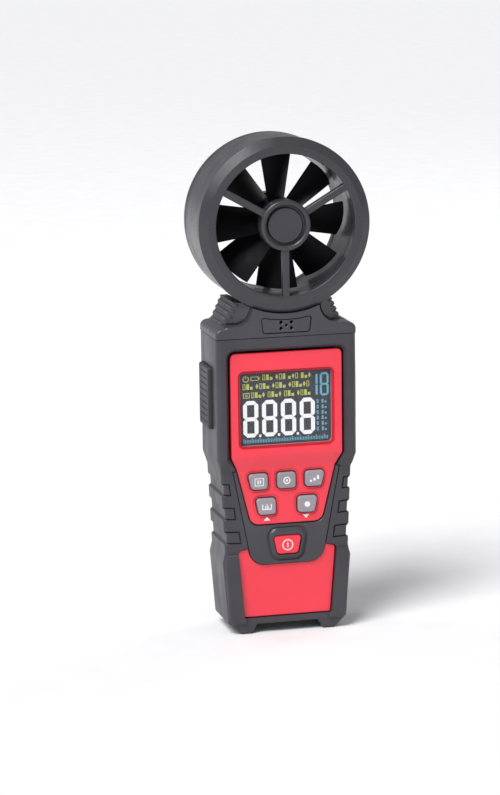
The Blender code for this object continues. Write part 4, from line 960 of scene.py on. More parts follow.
def rear_case():
    case = slab("rear_case_shell", CORE_OUTLINE, GAP / 2, CASE_REAR_Y, (), round_over(2.2 * MM, 5))
    cap = slab("rear_case_cap", CAP_OUTLINE, GAP / 2, NECK_REAR_Y, (), round_over(1.6 * MM))
    carve(cap, all_below(BODY_TOP_Z + JOINT, "cap_joint"))
    weld(case, cap)
    cavity = slab("rear_cavity", grown(CORE_OUTLINE, -CASE_WALL), -MM, CASE_REAR_Y - 2.4 * MM)
    neck_cavity = slab("rear_neck_cavity", NECK_INNER, -MM, NECK_REAR_Y - 2.4 * MM)
    carve(case, ring_room(), cavity, neck_cavity)
    bay_half = high("battery_3").x + 1.05 * MM
    bay_foot, bay_top = DOOR_LOW.z + 1.0 * MM, DOOR_HIGH.z - 3.6 * MM
    bay_floor = low("battery_1").y - 0.55 * MM
    bay = oblong(-bay_half, bay_foot, bay_half, bay_top)
    tub = slab("bay_tub", grown(bay, 1.4 * MM), bay_floor - 1.4 * MM, CASE_REAR_Y - MM)
    boss_r = radius_of("tripod_socket")
    boss_y = low("tripod_socket").y
    boss_wall = 1.8 * MM
    boss = plug(
        "socket_boss", boss_r + boss_wall, boss_y - 1.6 * MM, CASE_REAR_Y - MM, z=SOCKET.z, steps=48
    )
    weld(case, tub, boss)
    bay_room = slab("bay_room", bay, bay_floor, CASE_REAR_Y + MM)
    door_seat = DOOR_HIGH.y - DOOR_T - GAP
    door_room = slab("door_room", grown(DOOR_OUTLINE, GAP), door_seat, CASE_REAR_Y + MM)
    socket_room = turned(
        "socket_room",
        [
            (0, boss_y - GAP),
            (boss_r + GAP, boss_y - GAP),
            (boss_r + GAP, CASE_REAR_Y - 0.5 * MM),
            (boss_r + GAP + 0.6 * MM, CASE_REAR_Y + 0.1 * MM),
            (boss_r + GAP + 0.6 * MM, CASE_REAR_Y + MM),
            (0, CASE_REAR_Y + MM),
        ],
        z=SOCKET.z,
        steps=64,
    )
    carve(case, lug_room(), bay_room, door_room, socket_room, *neck_notches())
    for screw in SCREWS:
        place = middle(screw)
        head_r = radius_of(screw)
        seat = high(screw).y - SCREW_HEAD_T - GAP
        post_end = CASE_REAR_Y - 2 * MM
        post = plug(f"{screw}_post", 3.4 * MM, 0.6 * MM, post_end, x=place.x, z=place.z, steps=32)
        well = turned(
            f"{screw}_well",
            [
                (0, -MM),
                (1.4 * MM, -MM),
                (1.4 * MM, seat),
                (head_r + GAP, seat),
                (head_r + GAP, CASE_REAR_Y - 0.4 * MM),
                (head_r + GAP + 0.5 * MM, CASE_REAR_Y + 0.1 * MM),
                (head_r + GAP + 0.5 * MM, CASE_REAR_Y + MM),
                (0, CASE_REAR_Y + MM),
            ],
            x=place.x,
            z=place.z,
            steps=40,
        )
        weld(case, post)
        carve(case, well)
    tab_room = slab(
        "tab_room",
        oblong(-12.5 * MM, DOOR_LOW.z - DOOR_TAB_H - GAP, 12.5 * MM, DOOR_LOW.z + 2 * MM),
        DOOR_HIGH.y - 5.2 * MM,
        DOOR_HIGH.y - DOOR_T + 0.5 * MM,
    )
    carve(case, tab_room)
    return finish(case, CASE_PLASTIC, "grey_plastic", "meter", "rear_case")


def battery_door():
    outer = DOOR_HIGH.y
    inner = outer - DOOR_T
    door = slab("battery_door_shell", DOOR_OUTLINE, inner, outer, (), round_over(0.3 * MM, 3))
    tabs = []
    for side in (-1, 1):
        x = side * 7.5 * MM
        tab = oblong(x - 2.5 * MM, DOOR_LOW.z - DOOR_TAB_H, x + 2.5 * MM, DOOR_LOW.z + 1.5 * MM)
        tabs.append(slab(f"door_tab_{side}", tab, inner - 1.2 * MM, inner + 0.2 * MM))
    weld(door, *tabs)
    dish_z = DOOR_HIGH.z - 9 * MM
    bed, above = outer - 0.8 * MM, outer + 0.4 * MM
    dish = rounded([(0, bed), (5.0 * MM, bed), (5.8 * MM, above), (0, above)], [0.0, 0.8 * MM, 0.0, 0.0], 5)
    carve(door, turned("thumb_dish", dish, z=dish_z, steps=64))
    grips = []
    for number in range(5):
        z = dish_z + (number - 2) * 1.6 * MM
        half = math.sqrt((4.4 * MM) ** 2 - (z - dish_z) ** 2)
        outline = rounded(oblong(-half, z - 0.3 * MM, half, z + 0.3 * MM), 0.29 * MM, 3)
        soft = round_over(0.15 * MM, 2)
        grips.append(slab(f"door_grip_{number}", outline, outer - 1.2 * MM, outer - 0.35 * MM, (), soft))
    weld(door, *grips)
    return finish(door, CASE_PLASTIC, "grey_plastic", "door", "battery_door")


def case_screws():
    for number, screw in enumerate(SCREWS):
        place = middle(screw)
        radius = radius_of(screw)
        tip, top, shank_r = low(screw).y, high(screw).y, 1.1 * MM
        under = top - SCREW_HEAD_T
        profile = rounded(
            [(0, tip), (shank_r, tip), (shank_r, under), (radius, under), (radius, top), (0, top)],
            [0.0, 0.2 * MM, 0.0, 0.15 * MM, 0.8 * MM, 0.0],
            5,
        )
        body = turned(f"{screw}_body", profile, x=place.x, z=place.z, steps=40)
        across, wide = 1.25 * MM, 0.34 * MM
        for turn in (0, math.pi / 2):
            slot = oblong(place.x - across, place.z - wide, place.x + across, place.z + wide)
            arm = slab("cross_slot", slot, top - 0.9 * MM, top + MM)
            take(arm)
            bpy.ops.transform.rotate(
                value=turn + 0.35 * number, orient_axis="Y", center_override=(place.x, 0, place.z)
            )
            bpy.ops.object.transform_apply(location=True, rotation=True, scale=True)
            carve(body, arm)
        finish(body, SCREW_STEEL, "steel", "meter", screw)


def tripod_socket():
    inner, outer = 3.2 * MM, radius_of("tripod_socket")
    front, rear = low("tripod_socket").y, high("tripod_socket").y
    pitch, depth = 1.27 * MM, 0.35 * MM
    break_edge = 0.25 * MM
    profile = [(outer, front), (outer, rear - break_edge), (outer - break_edge, rear)]
    profile.append((inner + 0.5 * MM, rear))
    y = rear - 0.5 * MM
    while y - pitch > front:
        profile += [(inner, y), (inner + depth, y - pitch / 2)]
        y -= pitch
    profile.append((inner, front))
    socket = turned("tripod_socket_insert", profile, z=SOCKET.z, steps=64)
    return finish(socket, SOCKET_BRASS, "brass", "meter", "tripod_socket")


# ----------------------------------------------------------------- bumper

NOTCHES = [(37.6 * MM, 42.9 * MM), (47.6 * MM, 52.9 * MM), (57.6 * MM, 62.7 * MM)]
GROOVE_INNER = (19.0 * MM, 21.0 * MM, 22.9 * MM)
DISPLAY_HALF_W, DISPLAY_TOP_Z = high("keypad_panel").x, high("keypad_panel").z
KEYPAD_FOOT_Z = low("keypad_panel").z
DISPLAY_OUTLINE = rounded(
    mirrored(
        [
            (14.6 * MM, KEYPAD_FOOT_Z),
            (20.3 * MM, SLOPE_FOOT_Z),
            (DISPLAY_HALF_W, SLOPE_TOP_Z),
            (DISPLAY_HALF_W, DISPLAY_TOP_Z),
        ]
    ),
    [4.0 * MM, 0.0, 0.0, 2.0 * MM, 2.0 * MM, 0.0, 0.0, 4.0 * MM],
)
U_OUTLINE = rounded(
    mirrored([(14.6 * MM, 28.4 * MM), (22.0 * MM, SLOPE_FOOT_Z - 0.6 * MM)]),
    [6.5 * MM, 0.0, 0.0, 6.5 * MM],
    8,
)
LOWER_TOP_Z = RAIL_TOP_Z + 0.4 * MM
LOWER_OUTLINE = rounded(
    mirrored(
        [
            (18.0 * MM, low("lower_panel").z),
            (20.3 * MM, LOWER_TOP_Z - 0.9 * MM),
            (19.5 * MM, LOWER_TOP_Z),
            (14.6 * MM, LOWER_TOP_Z + 1.1 * MM),
        ]
    ),
    [0.8 * MM, 0.0, 0.0, 0.0, 0.0, 0.0, 0.0, 0.8 * MM],
    3,
)


def waist_x(z):
    """Half width of the grip at height z."""
    share = (z - RAIL_TOP_Z) / (WAIST_Z - RAIL_TOP_Z)
    return RAIL_HALF_W + (WAIST_HALF_W - RAIL_HALF_W) * share


def bumper_edge():
    """The right edge of the bumper, from the middle of its foot up."""
    edge = [(12.6 * MM, FOOT_RECESS), (14.8 * MM, 0.0), (19.6 * MM, 0.0)]
    edge += [(RAIL_HALF_W - 1.0 * MM, 4.8 * MM), (RAIL_HALF_W - 0.2 * MM, 15.0 * MM)]
    edge += [(RAIL_HALF_W + 1.0 * MM, RAIL_TOP_Z - 4.0 * MM), (RAIL_HALF_W, RAIL_TOP_Z)]
    for foot, top in NOTCHES:
        edge += [
            (waist_x(foot), foot),
            (waist_x(foot) - 0.9 * MM, foot + 0.7 * MM),
            (waist_x(top) - 0.9 * MM, top - 0.9 * MM),
            (waist_x(top), top),
        ]
    edge += [(WAIST_HALF_W, WAIST_Z), (BODY_HALF_W, SHOULDER_Z), (BODY_HALF_W, BODY_TOP_Z)]
    return edge


def rail(side):
    """The raised rail beside the lower panel."""
    right = RAIL_HALF_W
    outline = [
        (17.0 * MM, 4.2 * MM),
        (right - 2.7 * MM, 4.2 * MM),
        (right - 1.1 * MM, 7.0 * MM),
        (right + 0.2 * MM, RAIL_TOP_Z - 4.7 * MM),
        (right - 0.8 * MM, RAIL_TOP_Z - 0.6 * MM),
        (20.0 * MM, RAIL_TOP_Z - 0.6 * MM),
        (19.6 * MM, RAIL_TOP_Z - 4.2 * MM),
        (17.0 * MM, 6.0 * MM),
    ]
    if side < 0:
        outline = flipped(outline)
    return slab(f"rail_{side}", outline, RAIL_Y, GRIP_Y + 3 * MM, round_over(1.1 * MM, 3))


def grip_groove(side, foot, top, inner):
    """A narrow groove round a square on the front of the grip, open at the grip's outer edge."""
    outer, slant, wide = 30 * MM, 0.6 * MM, 0.65 * MM
    inner_top = inner + 0.6 * MM
    outline = [
        (inner, foot),
        (outer, foot + slant),
        (outer, foot + slant + wide),
        (inner + wide, foot + wide),
        (inner_top + wide, top - wide),
        (outer, top + slant - wide),
        (outer, top + slant),
        (inner_top, top),
    ]
    if side < 0:
        outline = flipped(outline)
    return slab(f"groove_{side}_{foot:.4f}", outline, GRIP_Y - 3 * MM, GRIP_Y + 0.9 * MM)


def bumper():
    body = slab(
        "bumper_overmould",
        mirrored(bumper_edge()),
        GRIP_Y,
        BUMPER_REAR_Y,
        round_over(1.3 * MM),
        round_over(1.3 * MM),
    )
    band_edge = BODY_HALF_W - HAIR
    band_outline = mirrored(
        [(WAIST_HALF_W - 0.4 * MM, WAIST_Z), (band_edge, SHOULDER_Z), (band_edge, BODY_TOP_Z + 5 * MM)]
    )
    band = slab("display_frame", band_outline, FRAME_Y, GRIP_Y + 4 * MM, round_over(2.6 * MM, 6))
    carve(band, all_above(BODY_TOP_Z - HAIR, "band_joint"))
    slope = bar(
        "frame_slope",
        [
            (FRAME_Y - MM, SHOULDER_Z + 1.1 * MM),
            (GRIP_Y, WAIST_Z + 0.2 * MM),
            (GRIP_Y + HAIR, WAIST_Z - 4 * MM),
            (FRAME_Y - MM, WAIST_Z - 4 * MM),
        ],
    )
    carve(band, slope)
    weld(body, band, rail(-1), rail(1))
    carve(body, slab("core_room", grown(CORE_OUTLINE, GAP), CASE_Y - GAP, BUMPER_REAR_Y + 3 * MM))
    display_way = slab(
        "display_way",
        grown(DISPLAY_OUTLINE, GAP + 1.9 * MM),
        FRAME_Y - 2 * MM,
        CASE_Y + MM,
        (),
        [(0.2 * MM, 0.12 * MM), (1.2 * MM, 1.9 * MM), (0, 4.4 * MM)],
    )
    u_way = slab("u_way", grown(U_OUTLINE, GAP), BEFORE_Y, CASE_Y + MM)
    lower_way = slab("lower_way", grown(LOWER_OUTLINE, GAP), BEFORE_Y, CASE_Y + MM)
    carve(body, display_way, u_way, lower_way)
    for (foot, top), inner in zip(NOTCHES, GROOVE_INNER):
        carve(body, grip_groove(-1, foot, top, inner), grip_groove(1, foot, top, inner))
    for name in ("side_pad_left", "side_pad_right"):
        pad_low, pad_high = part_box(name)
        outward = 3 * MM
        left, right = (outward, GAP) if pad_low.x < 0 else (GAP, outward)
        room = oblong(pad_low.x - left, pad_low.z - GAP, pad_high.x + right, pad_high.z + GAP)
        carve(body, slab(f"{name}_room", room, pad_low.y - GAP, pad_high.y + GAP))
    return finish(body, BUMPER_RUBBER, "black_rubber", "meter", "bumper")


def side_pads():
    """The rubber pads on the flanks, each with a fine ribbed face."""
    for name in ("side_pad_left", "side_pad_right"):
        pad_low, pad_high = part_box(name)
        side = -1 if pad_low.x < 0 else 1
        deselect()
        centre = (pad_low + pad_high) / 2
        bpy.ops.mesh.primitive_cube_add(size=1.0, location=centre, scale=pad_high - pad_low)
        pad = bpy.context.object
        pad.name = pad.data.name = f"{name}_moulding"
        bpy.ops.object.transform_apply(location=True, rotation=True, scale=True)
        apply_modifier(pad, "BEVEL", width=0.9 * MM, segments=4)
        face_x = side * (BODY_HALF_W + 1.8 * MM)
        count = 9
        for number in range(count):
            z = pad_low.z + (number + 1) * (pad_high.z - pad_low.z) / (count + 1)
            bottom, clear = face_x - 0.35 * MM * side, face_x + 0.4 * MM * side
            section = [(bottom, z), (clear, z - 0.5 * MM), (clear, z + 0.5 * MM)]
            carve(pad, slab("pad_groove", section, pad_low.y + 1.6 * MM, pad_high.y - 1.6 * MM))
        finish(pad, PAD_RUBBER, "black_rubber", "meter", name)


# ----------------------------------------------------------- front panels

KEYS = [
    ("key_hold", -7.8, -16.0, -14.4, 59.6, 66.0),
    ("key_set", -3.8, 3.8, 3.8, 59.5, 66.0),
    ("key_function", 7.8, 16.0, 14.4, 59.6, 66.0),
    ("key_unit", -4.6, -12.9, -11.5, 49.1, 55.8),
    ("key_record", 4.6, 12.9, 11.5, 49.1, 55.8),
]


def key_outline(inner, outer_top, outer_foot, foot, top):
    corners = [(inner, foot), (outer_foot, foot), (outer_top, top), (inner, top)]
    corners = [(x * MM, z * MM) for x, z in corners]
    if outer_top < inner:
        corners.reverse()
    return rounded(corners, 1.4 * MM)


KEY_OUTLINES = {name: key_outline(*sizes) for name, *sizes in KEYS}
KEY_OUTLINES["key_power"] = rounded(mirrored([(4.4 * MM, 32.5 * MM), (6.0 * MM, 40.2 * MM)]), 1.5 * MM)


def keypad_panel():
    """The red plate round the display and keys, which steps back below the display."""
    rise = (SLOPE_TOP_Z - SLOPE_FOOT_Z) / (KEYPAD_Y - DISPLAY_Y)
    shape = slab("keypad_plate", DISPLAY_OUTLINE, DISPLAY_Y, PANEL_REAR_Y, round_over(0.35 * MM, 3))
    step = bar(
        "step_front",
        [
            (DISPLAY_Y - MM, SLOPE_TOP_Z + rise * MM),
            (KEYPAD_Y, SLOPE_FOOT_Z),
            (KEYPAD_Y, KEYPAD_FOOT_Z - 2 * MM),
            (DISPLAY_Y - MM, KEYPAD_FOOT_Z - 2 * MM),
        ],
    )
    back = bar(
        "step_rear",
        [
            (DISPLAY_Y + PANEL_T, DISPLAY_TOP_Z + 2 * MM),
            (PANEL_REAR_Y + MM, DISPLAY_TOP_Z + 2 * MM),
            (PANEL_REAR_Y + MM, SLOPE_FOOT_Z - 0.5 * MM - rise * MM),
            (DISPLAY_Y + PANEL_T, SLOPE_TOP_Z - 0.5 * MM),
        ],
    )
    carve(shape, step, back)
    window_way = slab(
        "window_way",
        grown(WINDOW_OUTLINE, GAP + 1.2 * MM),
        DISPLAY_Y - 2 * MM,
        DISPLAY_Y + 4 * MM,
        (),
        [(0.15 * MM, 0.1 * MM), (0, 0.7 * MM), (1.05 * MM, 0.02 * MM), (0, 3.18 * MM)],
    )
    carve(shape, window_way)
    for name, outline in KEY_OUTLINES.items():
        if name == "key_power":
            continue
        way = slab(
            f"{name}_way",
            grown(outline, GAP + 0.35 * MM),
            KEYPAD_Y - 3 * MM,
            KEYPAD_Y + 4 * MM,
            (),
            [(0.15 * MM, 0.12 * MM), (0, 3.88 * MM)],
        )
        lip = slab(f"{name}_lip", grown(outline, 1.3 * MM), KEYPAD_Y - MM, KEYPAD_Y + 0.4 * MM)
        carve(lip, slab(f"{name}_land", grown(outline, 0.95 * MM), KEYPAD_Y - 2 * MM, KEYPAD_Y + MM))
        carve(shape, way, lip)
    return finish(shape, RED_PLASTIC, "red_plastic", "meter", "keypad_panel")


def step_marks():
    """The up and down arrows under the two lower keys."""
    marks = []
    for side, point in ((-1, 0.8), (1, -0.8)):
        x, z = side * 8.15 * MM, KEYPAD_FOOT_Z + 2.1 * MM
        corners = [(x - 1.4 * MM, z - point * MM), (x + 1.4 * MM, z - point * MM), (x, z + point * MM)]
        if point < 0:
            corners.reverse()
        marks.append(slab(f"step_mark_{side}", corners, KEYPAD_Y - 0.05 * MM, KEYPAD_Y + 0.05 * MM))
    finish(gather("step_marks", marks), WHITE_INK, "white_plastic", "meter")


def power_panel():
    """The dark plate round the keypad, with the raised bezel of the power key at its foot."""
    plate = slab("power_plate", U_OUTLINE, POWER_PANEL_Y, PANEL_REAR_Y, round_over(0.3 * MM, 3))
    keypad_room = slab(
        "keypad_room",
        grown(DISPLAY_OUTLINE, GAP + 0.45 * MM),
        BEFORE_Y,
        BEHIND_Y,
        (),
        [(0.2 * MM, 0.25 * MM), (0, 7.45 * MM)],
    )
    carve(plate, keypad_room)
    key = KEY_OUTLINES["key_power"]
    brow = [(x, z + (1.0 * MM if z > 36 * MM else 0.0)) for x, z in grown(key, GAP + 1.7 * MM)]
    groove = slab("bezel_groove", grown(brow, 0.8 * MM), POWER_PANEL_Y - MM, POWER_PANEL_Y + 0.5 * MM)
    island = slab("bezel_island", brow, POWER_PANEL_Y - 2 * MM, POWER_PANEL_Y + MM)
    carve(groove, island)
    carve(plate, groove)
    bezel = slab(
        "power_bezel",
        brow,
        POWER_PANEL_Y - 0.9 * MM,
        KEYPAD_Y + 0.5 * MM,
        [(0.3 * MM, 0.35 * MM), (0.7 * MM, 0.45 * MM), (0.3 * MM, 0.08 * MM)],
    )
    weld(plate, bezel)
    carve(plate, slab("power_key_way", grown(key, GAP), BEFORE_Y, BEHIND_Y))
    return finish(plate, CASE_PLASTIC, "grey_plastic", "meter", "power_panel")


def lower_panel():
    plate = slab("lower_plate", LOWER_OUTLINE, LOWER_PANEL_Y, PANEL_REAR_Y, round_over(0.35 * MM, 3))
    room = slab(
        "u_room",
        grown(U_OUTLINE, GAP + 0.25 * MM),
        BEFORE_Y,
        BEHIND_Y,
        (),
        [(0.25 * MM, 0.3 * MM), (0, 6.9 * MM)],
    )
    carve(plate, room)
    return finish(plate, RED_PLASTIC, "red_plastic", "meter", "lower_panel")


# ------------------------------------------------------------------ keys


def centre_of(outline):
    return tuple(sum(values) / len(outline) for values in zip(*outline))


def key_cap(node, look, slot, body):
    """A key with a softly crowned face, and the flange and stem that hold it behind the panel."""
    outline = KEY_OUTLINES[node]
    front, rear = low(node).y, high(node).y
    edge = round_over(0.5 * MM, 4)
    crown = [(0.5 * MM, 0.05 * MM)]
    cap = slab(f"{node}_cap", outline, front, CASE_Y + 0.8 * MM, edge + crown)
    rim_edge = round_over(0.15 * MM, 2)
    flange = slab(f"{node}_flange", grown(outline, KEY_FLANGE), CASE_Y, CASE_Y + 0.8 * MM, rim_edge)
    x, z = centre_of(outline)
    stem = slab(f"{node}_stem", disc(x, z, 1.4 * MM, 24), CASE_Y + 0.4 * MM, rear)
    weld(cap, flange, stem)
    return finish(cap, look, slot, body, node)


def thin_marks(name, front, rear, outlines):
    """Thin plates with those outlines, as one object."""
    return gather(name, [slab(f"{name}_{n}", outline, front, rear) for n, outline in enumerate(outlines)])


def mark(name, body, face_y, outlines):
    """Printed marks that stand a hair proud of a face at face_y."""
    marks = thin_marks(name, face_y - 0.04 * MM, face_y + 0.1 * MM, outlines)
    return finish(marks, WHITE_INK, "white_plastic", body)


def hoop(x, z, radius, wide, gap, count=40):
    """A ring outline open by gap at the top, as a strip that runs out and back."""
    start = math.pi / 2 + gap
    turn = 2 * math.pi - 2 * gap
    outer = arc(x, z, radius, start, turn, count)
    inner = arc(x, z, radius - wide, start, turn, count)
    return outer + inner[::-1]


def keys():
    for name, *_ in KEYS:
        key_cap(name, KEY_RUBBER, "key_rubber", name.replace("key_", "") + "_key")
    key_cap("key_power", RED_PLASTIC, "red_plastic", "power_key")
    face = low("key_set").y

    def at(name, *boxes):
        x, z = centre_of(KEY_OUTLINES[name])
        return [oblong(x + a * MM, z + b * MM, x + c * MM, z + d * MM) for a, b, c, d in boxes]

    x, z = centre_of(KEY_OUTLINES["key_hold"])
    frame_strips = rim(x - 1.9 * MM, z - 1.6 * MM, x + 1.9 * MM, z + 1.6 * MM, 0.3 * MM)
    bars = at("key_hold", (-0.75, -0.8, -0.25, 0.8), (0.25, -0.8, 0.75, 0.8))
    mark("hold_key_mark", "hold_key", face, frame_strips + bars)
    x, z = centre_of(KEY_OUTLINES["key_set"])
    mark("set_key_mark", "set_key", face, [hoop(x, z, 1.5 * MM, 0.45 * MM, 0.02), disc(x, z, 0.5 * MM, 20)])
    steps = at("key_function", (-1.9, -1.3, -1.0, -0.4), (-0.45, -0.8, 0.45, 0.3), (1.0, -0.3, 1.9, 1.3))
    mark("function_key_mark", "function_key", face, steps)
    scale = at(
        "key_unit",
        (-2.0, -1.2, 2.0, -0.8),
        (-2.0, -0.8, -1.6, 1.1),
        (-0.8, -0.8, -0.5, 0.3),
        (-0.2, -0.8, 0.2, 1.1),
        (0.5, -0.8, 0.8, 0.3),
        (1.6, -0.8, 2.0, 1.1),
    )
    mark("unit_key_mark", "unit_key", face, scale)
    x, z = centre_of(KEY_OUTLINES["key_record"])
    mark("record_key_mark", "record_key", face, [disc(x, z, 1.15 * MM)])
    x, z = centre_of(KEY_OUTLINES["key_power"])
    stroke = oblong(x - 0.2 * MM, z - 1.05 * MM, x + 0.2 * MM, z + 1.05 * MM)
    mark("power_key_mark", "power_key", low("key_power").y, [hoop(x, z, 2.25 * MM, 0.38 * MM, 0.02), stroke])


# --------------------------------------------------------------- display


def digit(x0, z0, wide, tall, stroke):
    """The seven bars of a figure eight whose foot is at x0, z0."""
    half, gap = stroke / 2, 0.06 * MM
    mid = z0 + tall / 2
    bars = []
    for level in (z0 + half, mid, z0 + tall - half):
        left, right = x0 + half + gap, x0 + wide - half - gap
        bars.append(
            [
                (left, level),
                (left + half, level - half),
                (right - half, level - half),
                (right, level),
                (right - half, level + half),
                (left + half, level + half),
            ]
        )
    for column in (x0 + half, x0 + wide - half):
        for foot, top in ((z0 + half + gap, mid - gap), (mid + gap, z0 + tall - half - gap)):
            bars.append(
                [
                    (column, foot),
                    (column + half, foot + half),
                    (column + half, top - half),
                    (column, top),
                    (column - half, top - half),
                    (column - half, foot + half),
                ]
            )
    return bars


def lit(name, outlines, look):
    marks = thin_marks(name, GLASS_Y - 0.06 * MM, GLASS_Y + 0.1 * MM, outlines)
    return finish(marks, look, "lcd_glass", "meter")


def legend_row(x0, x1, foot, tall, groups, pitch=0.65):
    """A row of small shapes in groups, each a frame, a block, a low block or a diamond."""
    cell = tall * 0.48
    step = tall * pitch
    stroke = 0.26 * MM
    shapes = []
    x = x0
    number = 0
    for group in groups:
        for _ in range(group):
            if x + cell > x1:
                break
            kind = number % 4
            top, right = foot + tall, x + cell
            if kind == 0:
                shapes += [oblong(x, foot, right, foot + stroke), oblong(x, top - stroke, right, top)]
                shapes += [oblong(x, foot, x + stroke, top), oblong(right - stroke, foot, right, top)]
            elif kind == 1:
                shapes.append(oblong(x, foot, right, top))
            elif kind == 2:
                shapes.append(oblong(x, foot, right, foot + tall * 0.5))
            else:
                centre = foot + tall / 2
                shapes.append([(x, centre), (x + cell / 2, foot), (right, centre), (x + cell / 2, top)])
            x += step
            number += 1
        x += 0.8 * MM
    return shapes


def pane_shade_band():
    """A dark crimson band round the display pane, on the floor of its recess: painted shade standing in for
    the shadow of the recess wall.
    """
    seat = DISPLAY_Y + 0.8 * MM
    # Painted shade: this band darkens the recess floor where the wall's shadow would fall.
    band = slab("pane_shade_band", grown(WINDOW_OUTLINE, GAP + 0.95 * MM), seat - 0.05 * MM, seat + 0.05 * MM)
    carve(band, slab("pane_opening", grown(WINDOW_OUTLINE, GAP), seat - MM, seat + MM))
    finish(band, PANE_SHADE_CRIMSON, "red_plastic", "meter")


def display():
    pane = slab("display_pane", WINDOW_OUTLINE, WINDOW_LOW.y, WINDOW_HIGH.y, round_over(0.15 * MM, 2))
    finish(pane, WINDOW_ACRYLIC, "clear_plastic", "meter", "lcd_window")
    cell = slab("display_cell", WINDOW_OUTLINE, GLASS_Y, high("lcd_glass").y, round_over(0.1 * MM, 2))
    finish(cell, LCD_SLATE, "lcd_glass", "meter", "lcd_glass")

    def patch(x0, z0, x1, z1):
        """A rectangle given in millimetres from the lower left corner of the window."""
        left, foot = WINDOW_LOW.x, WINDOW_LOW.z
        return left + x0 * MM, foot + z0 * MM, left + x1 * MM, foot + z1 * MM

    def digit_at(x, z, wide, tall, stroke):
        left, foot, *_ = patch(x, z, x, z)
        return digit(left, foot, wide * MM, tall * MM, stroke * MM)

    def row_at(x0, x1, z, tall, groups, *pitch):
        left, foot, right, _ = patch(x0, z, x1, z)
        return legend_row(left, right, foot, tall * MM, groups, *pitch)

    big = []
    for number in range(4):
        x = 1.1 + 7.8 * number
        big += digit_at(x, 3.0, 6.3, 14.9, 1.65)
        if number < 3:
            big.append(oblong(*patch(x + 6.5, 3.0, x + 7.4, 4.0)))
    lit("display_digits", big, DIGIT_WHITE)
    side = digit_at(33.0, 18.4, 3.6, 9.4, 0.8)
    side += [oblong(*patch(31.2, 18.9, 32.0, 22.9)), oblong(*patch(31.2, 23.3, 32.0, 27.3))]
    for number in range(53):
        x = 1.2 + number * 0.665
        tall = 1.9 if number % 5 == 0 else 1.35
        side.append(oblong(*patch(x, 0.7, x + 0.3, 0.7 + tall)))
    for row in range(6):
        side += row_at(31.6, 36.6, 4.2 + row * 2.25, 1.5, (1, 2), 0.84)
    lit("display_side_marks", side, MARK_CYAN)
    rows = row_at(9.3, 30.2, 26.0, 2.3, (3, 3, 3, 3))
    rows += row_at(1.1, 30.2, 22.5, 2.3, (3, 4, 4, 6))
    rows += row_at(4.6, 30.2, 19.0, 2.3, (4, 4, 3, 4))
    x, z, *_ = patch(2.4, 26.8, 0, 0)
    rows.append(hoop(x, z, 1.3 * MM, 0.35 * MM, 0.5))
    rows.append(oblong(*patch(2.25, 26.8, 2.55, 28.2)))
    rows += rim(*patch(4.4, 26.0, 7.7, 27.7), 0.28 * MM)
    rows.append(oblong(*patch(7.7, 26.5, 8.05, 27.2)))
    rows += rim(*patch(1.2, 19.0, 3.9, 21.2), 0.28 * MM)
    rows += [oblong(*patch(2.1, 19.6, 2.4, 20.6)), oblong(*patch(2.7, 19.6, 3.0, 20.6))]
    lit("display_top_marks", rows, MARK_GREEN)


# ------------------------------------------------------------- carried over

CARRIED = {
    SCREW_STEEL: [
        *(f"battery_{kind}_{number}" for kind in ("contact", "spring") for number in (1, 2, 3)),
        "fan_shaft",
        *(f"switch_{key}" for key in ("function", "hold", "power", "record", "set", "unit")),
    ],
    SOCKET_BRASS: ["front_bearing", "rear_bearing"],
    FERRITE: ["rotor_magnet"],
    BOARD_GREEN: ["main_board", "hall_board"],
    CHIP_EPOXY: ["processor", "buzzer", "air_sensor"],
    CELL_WRAP: ["battery_1", "battery_2", "battery_3"],
    WHITE_MOULDING: ["lcd_backlight", "lcd_holder"],
    SILICONE: ["key_membrane"],
    SLEEVE: ["sensor_cable"],
}


def finish_carried_nodes():
    for look, names in CARRIED.items():
        for name in names:
            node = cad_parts[name]
            node.data.materials.clear()
            node.data.materials.append(look)


# ------------------------------------------------------- camera and lights

VIEW_AZIMUTH = math.radians(-14.0)
VIEW_HEIGHT = math.radians(11.0)
VIEW_ROLL = math.radians(-0.8)
VIEW_DISTANCE = 1244 * MM
VIEW_AIM = Vector((-11.5 * MM, 0.0, 94.9 * MM))
LENS_MM = 139.8
LIGHT_AIM = Vector((0.0, 0.0, 0.1))


def camera():
    data = bpy.data.cameras.new("meter_camera")
    data.sensor_width = 36.0
    data.lens = LENS_MM
    view = bpy.data.objects.new("meter_camera", data)
    bpy.context.scene.collection.objects.link(view)
    away = Vector(
        (
            math.sin(VIEW_AZIMUTH) * math.cos(VIEW_HEIGHT),
            -math.cos(VIEW_AZIMUTH) * math.cos(VIEW_HEIGHT),
            math.sin(VIEW_HEIGHT),
        )
    )
    turn = away.to_track_quat("Z", "Y").to_matrix().to_4x4() @ Matrix.Rotation(VIEW_ROLL, 4, "Z")
    view.matrix_world = Matrix.Translation(VIEW_AIM + away * VIEW_DISTANCE) @ turn
    bpy.context.scene.camera = view


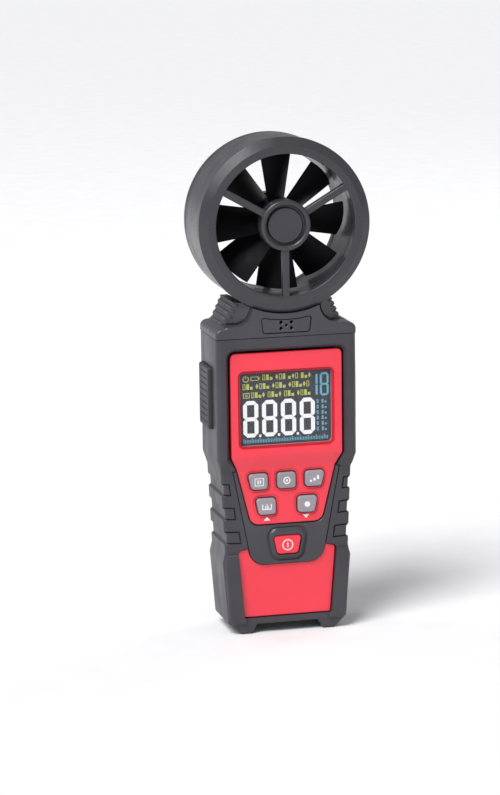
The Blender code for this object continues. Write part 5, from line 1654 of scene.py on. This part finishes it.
def softbox(name, place, size, power):
    data = bpy.data.lights.new(name, "AREA")
    data.shape = "RECTANGLE"
    data.size, data.size_y = size
    data.energy = power
    light = bpy.data.objects.new(name, data)
    bpy.context.scene.collection.objects.link(light)
    facing = (Vector(place) - LIGHT_AIM).to_track_quat("Z", "Y")
    light.matrix_world = Matrix.Translation(place) @ facing.to_matrix().to_4x4()


def daylight(name, direction, strength, spread_degrees):
    """An even, soft light from far away, so that the floor has one tone."""
    data = bpy.data.lights.new(name, "SUN")
    data.energy = strength
    data.angle = math.radians(spread_degrees)
    light = bpy.data.objects.new(name, data)
    bpy.context.scene.collection.objects.link(light)
    light.matrix_world = Vector(direction).to_track_quat("Z", "Y").to_matrix().to_4x4()


def studio():
    deselect()
    bpy.ops.mesh.primitive_plane_add(size=60.0, location=(0, 0, 0))
    floor = bpy.context.object
    floor.name = "studio_floor"
    look, tree, shader = shading("studio_paper")
    tooth = noise(tree, 55.0, 4.0)
    paper = ramp(tree, tooth, 0.3, 0.7, (0.76, 0.76, 0.77), (0.79, 0.79, 0.8))
    tree.links.new(paper, shader.inputs["Base Color"])
    shader.inputs["Roughness"].default_value = 0.95
    shader.inputs["Specular IOR Level"].default_value = 0.0
    floor.data.materials.append(look)
    softbox("key_softbox", (-1.5, -1.2, 1.5), (0.9, 0.9), 9.0)
    softbox("left_rim", (-1.2, 0.9, 0.5), (0.3, 1.6), 5.0)
    softbox("right_rim", (1.3, 0.8, 0.5), (0.3, 1.6), 6.0)
    daylight("ceiling_light", (-0.5, -0.45, 1.0), 2.85, 26.0)
    world = bpy.data.worlds.new("studio_air")
    world.use_nodes = True
    air = world.node_tree.nodes["Background"]
    air.inputs["Color"].default_value = (0.93, 0.93, 0.95, 1.0)
    air.inputs["Strength"].default_value = 0.42
    bpy.context.scene.world = world
    bpy.context.scene.view_settings.view_transform = "Standard"


camera()
studio()
finish_carried_nodes()
front_guard()
hub_cap()
fan_duct()
rear_guard()
impeller()
front_case()
sensor_cover()
rear_case()
battery_door()
case_screws()
tripod_socket()
bumper()
side_pads()
keypad_panel()
step_marks()
power_panel()
lower_panel()
keys()
pane_shade_band()
display()
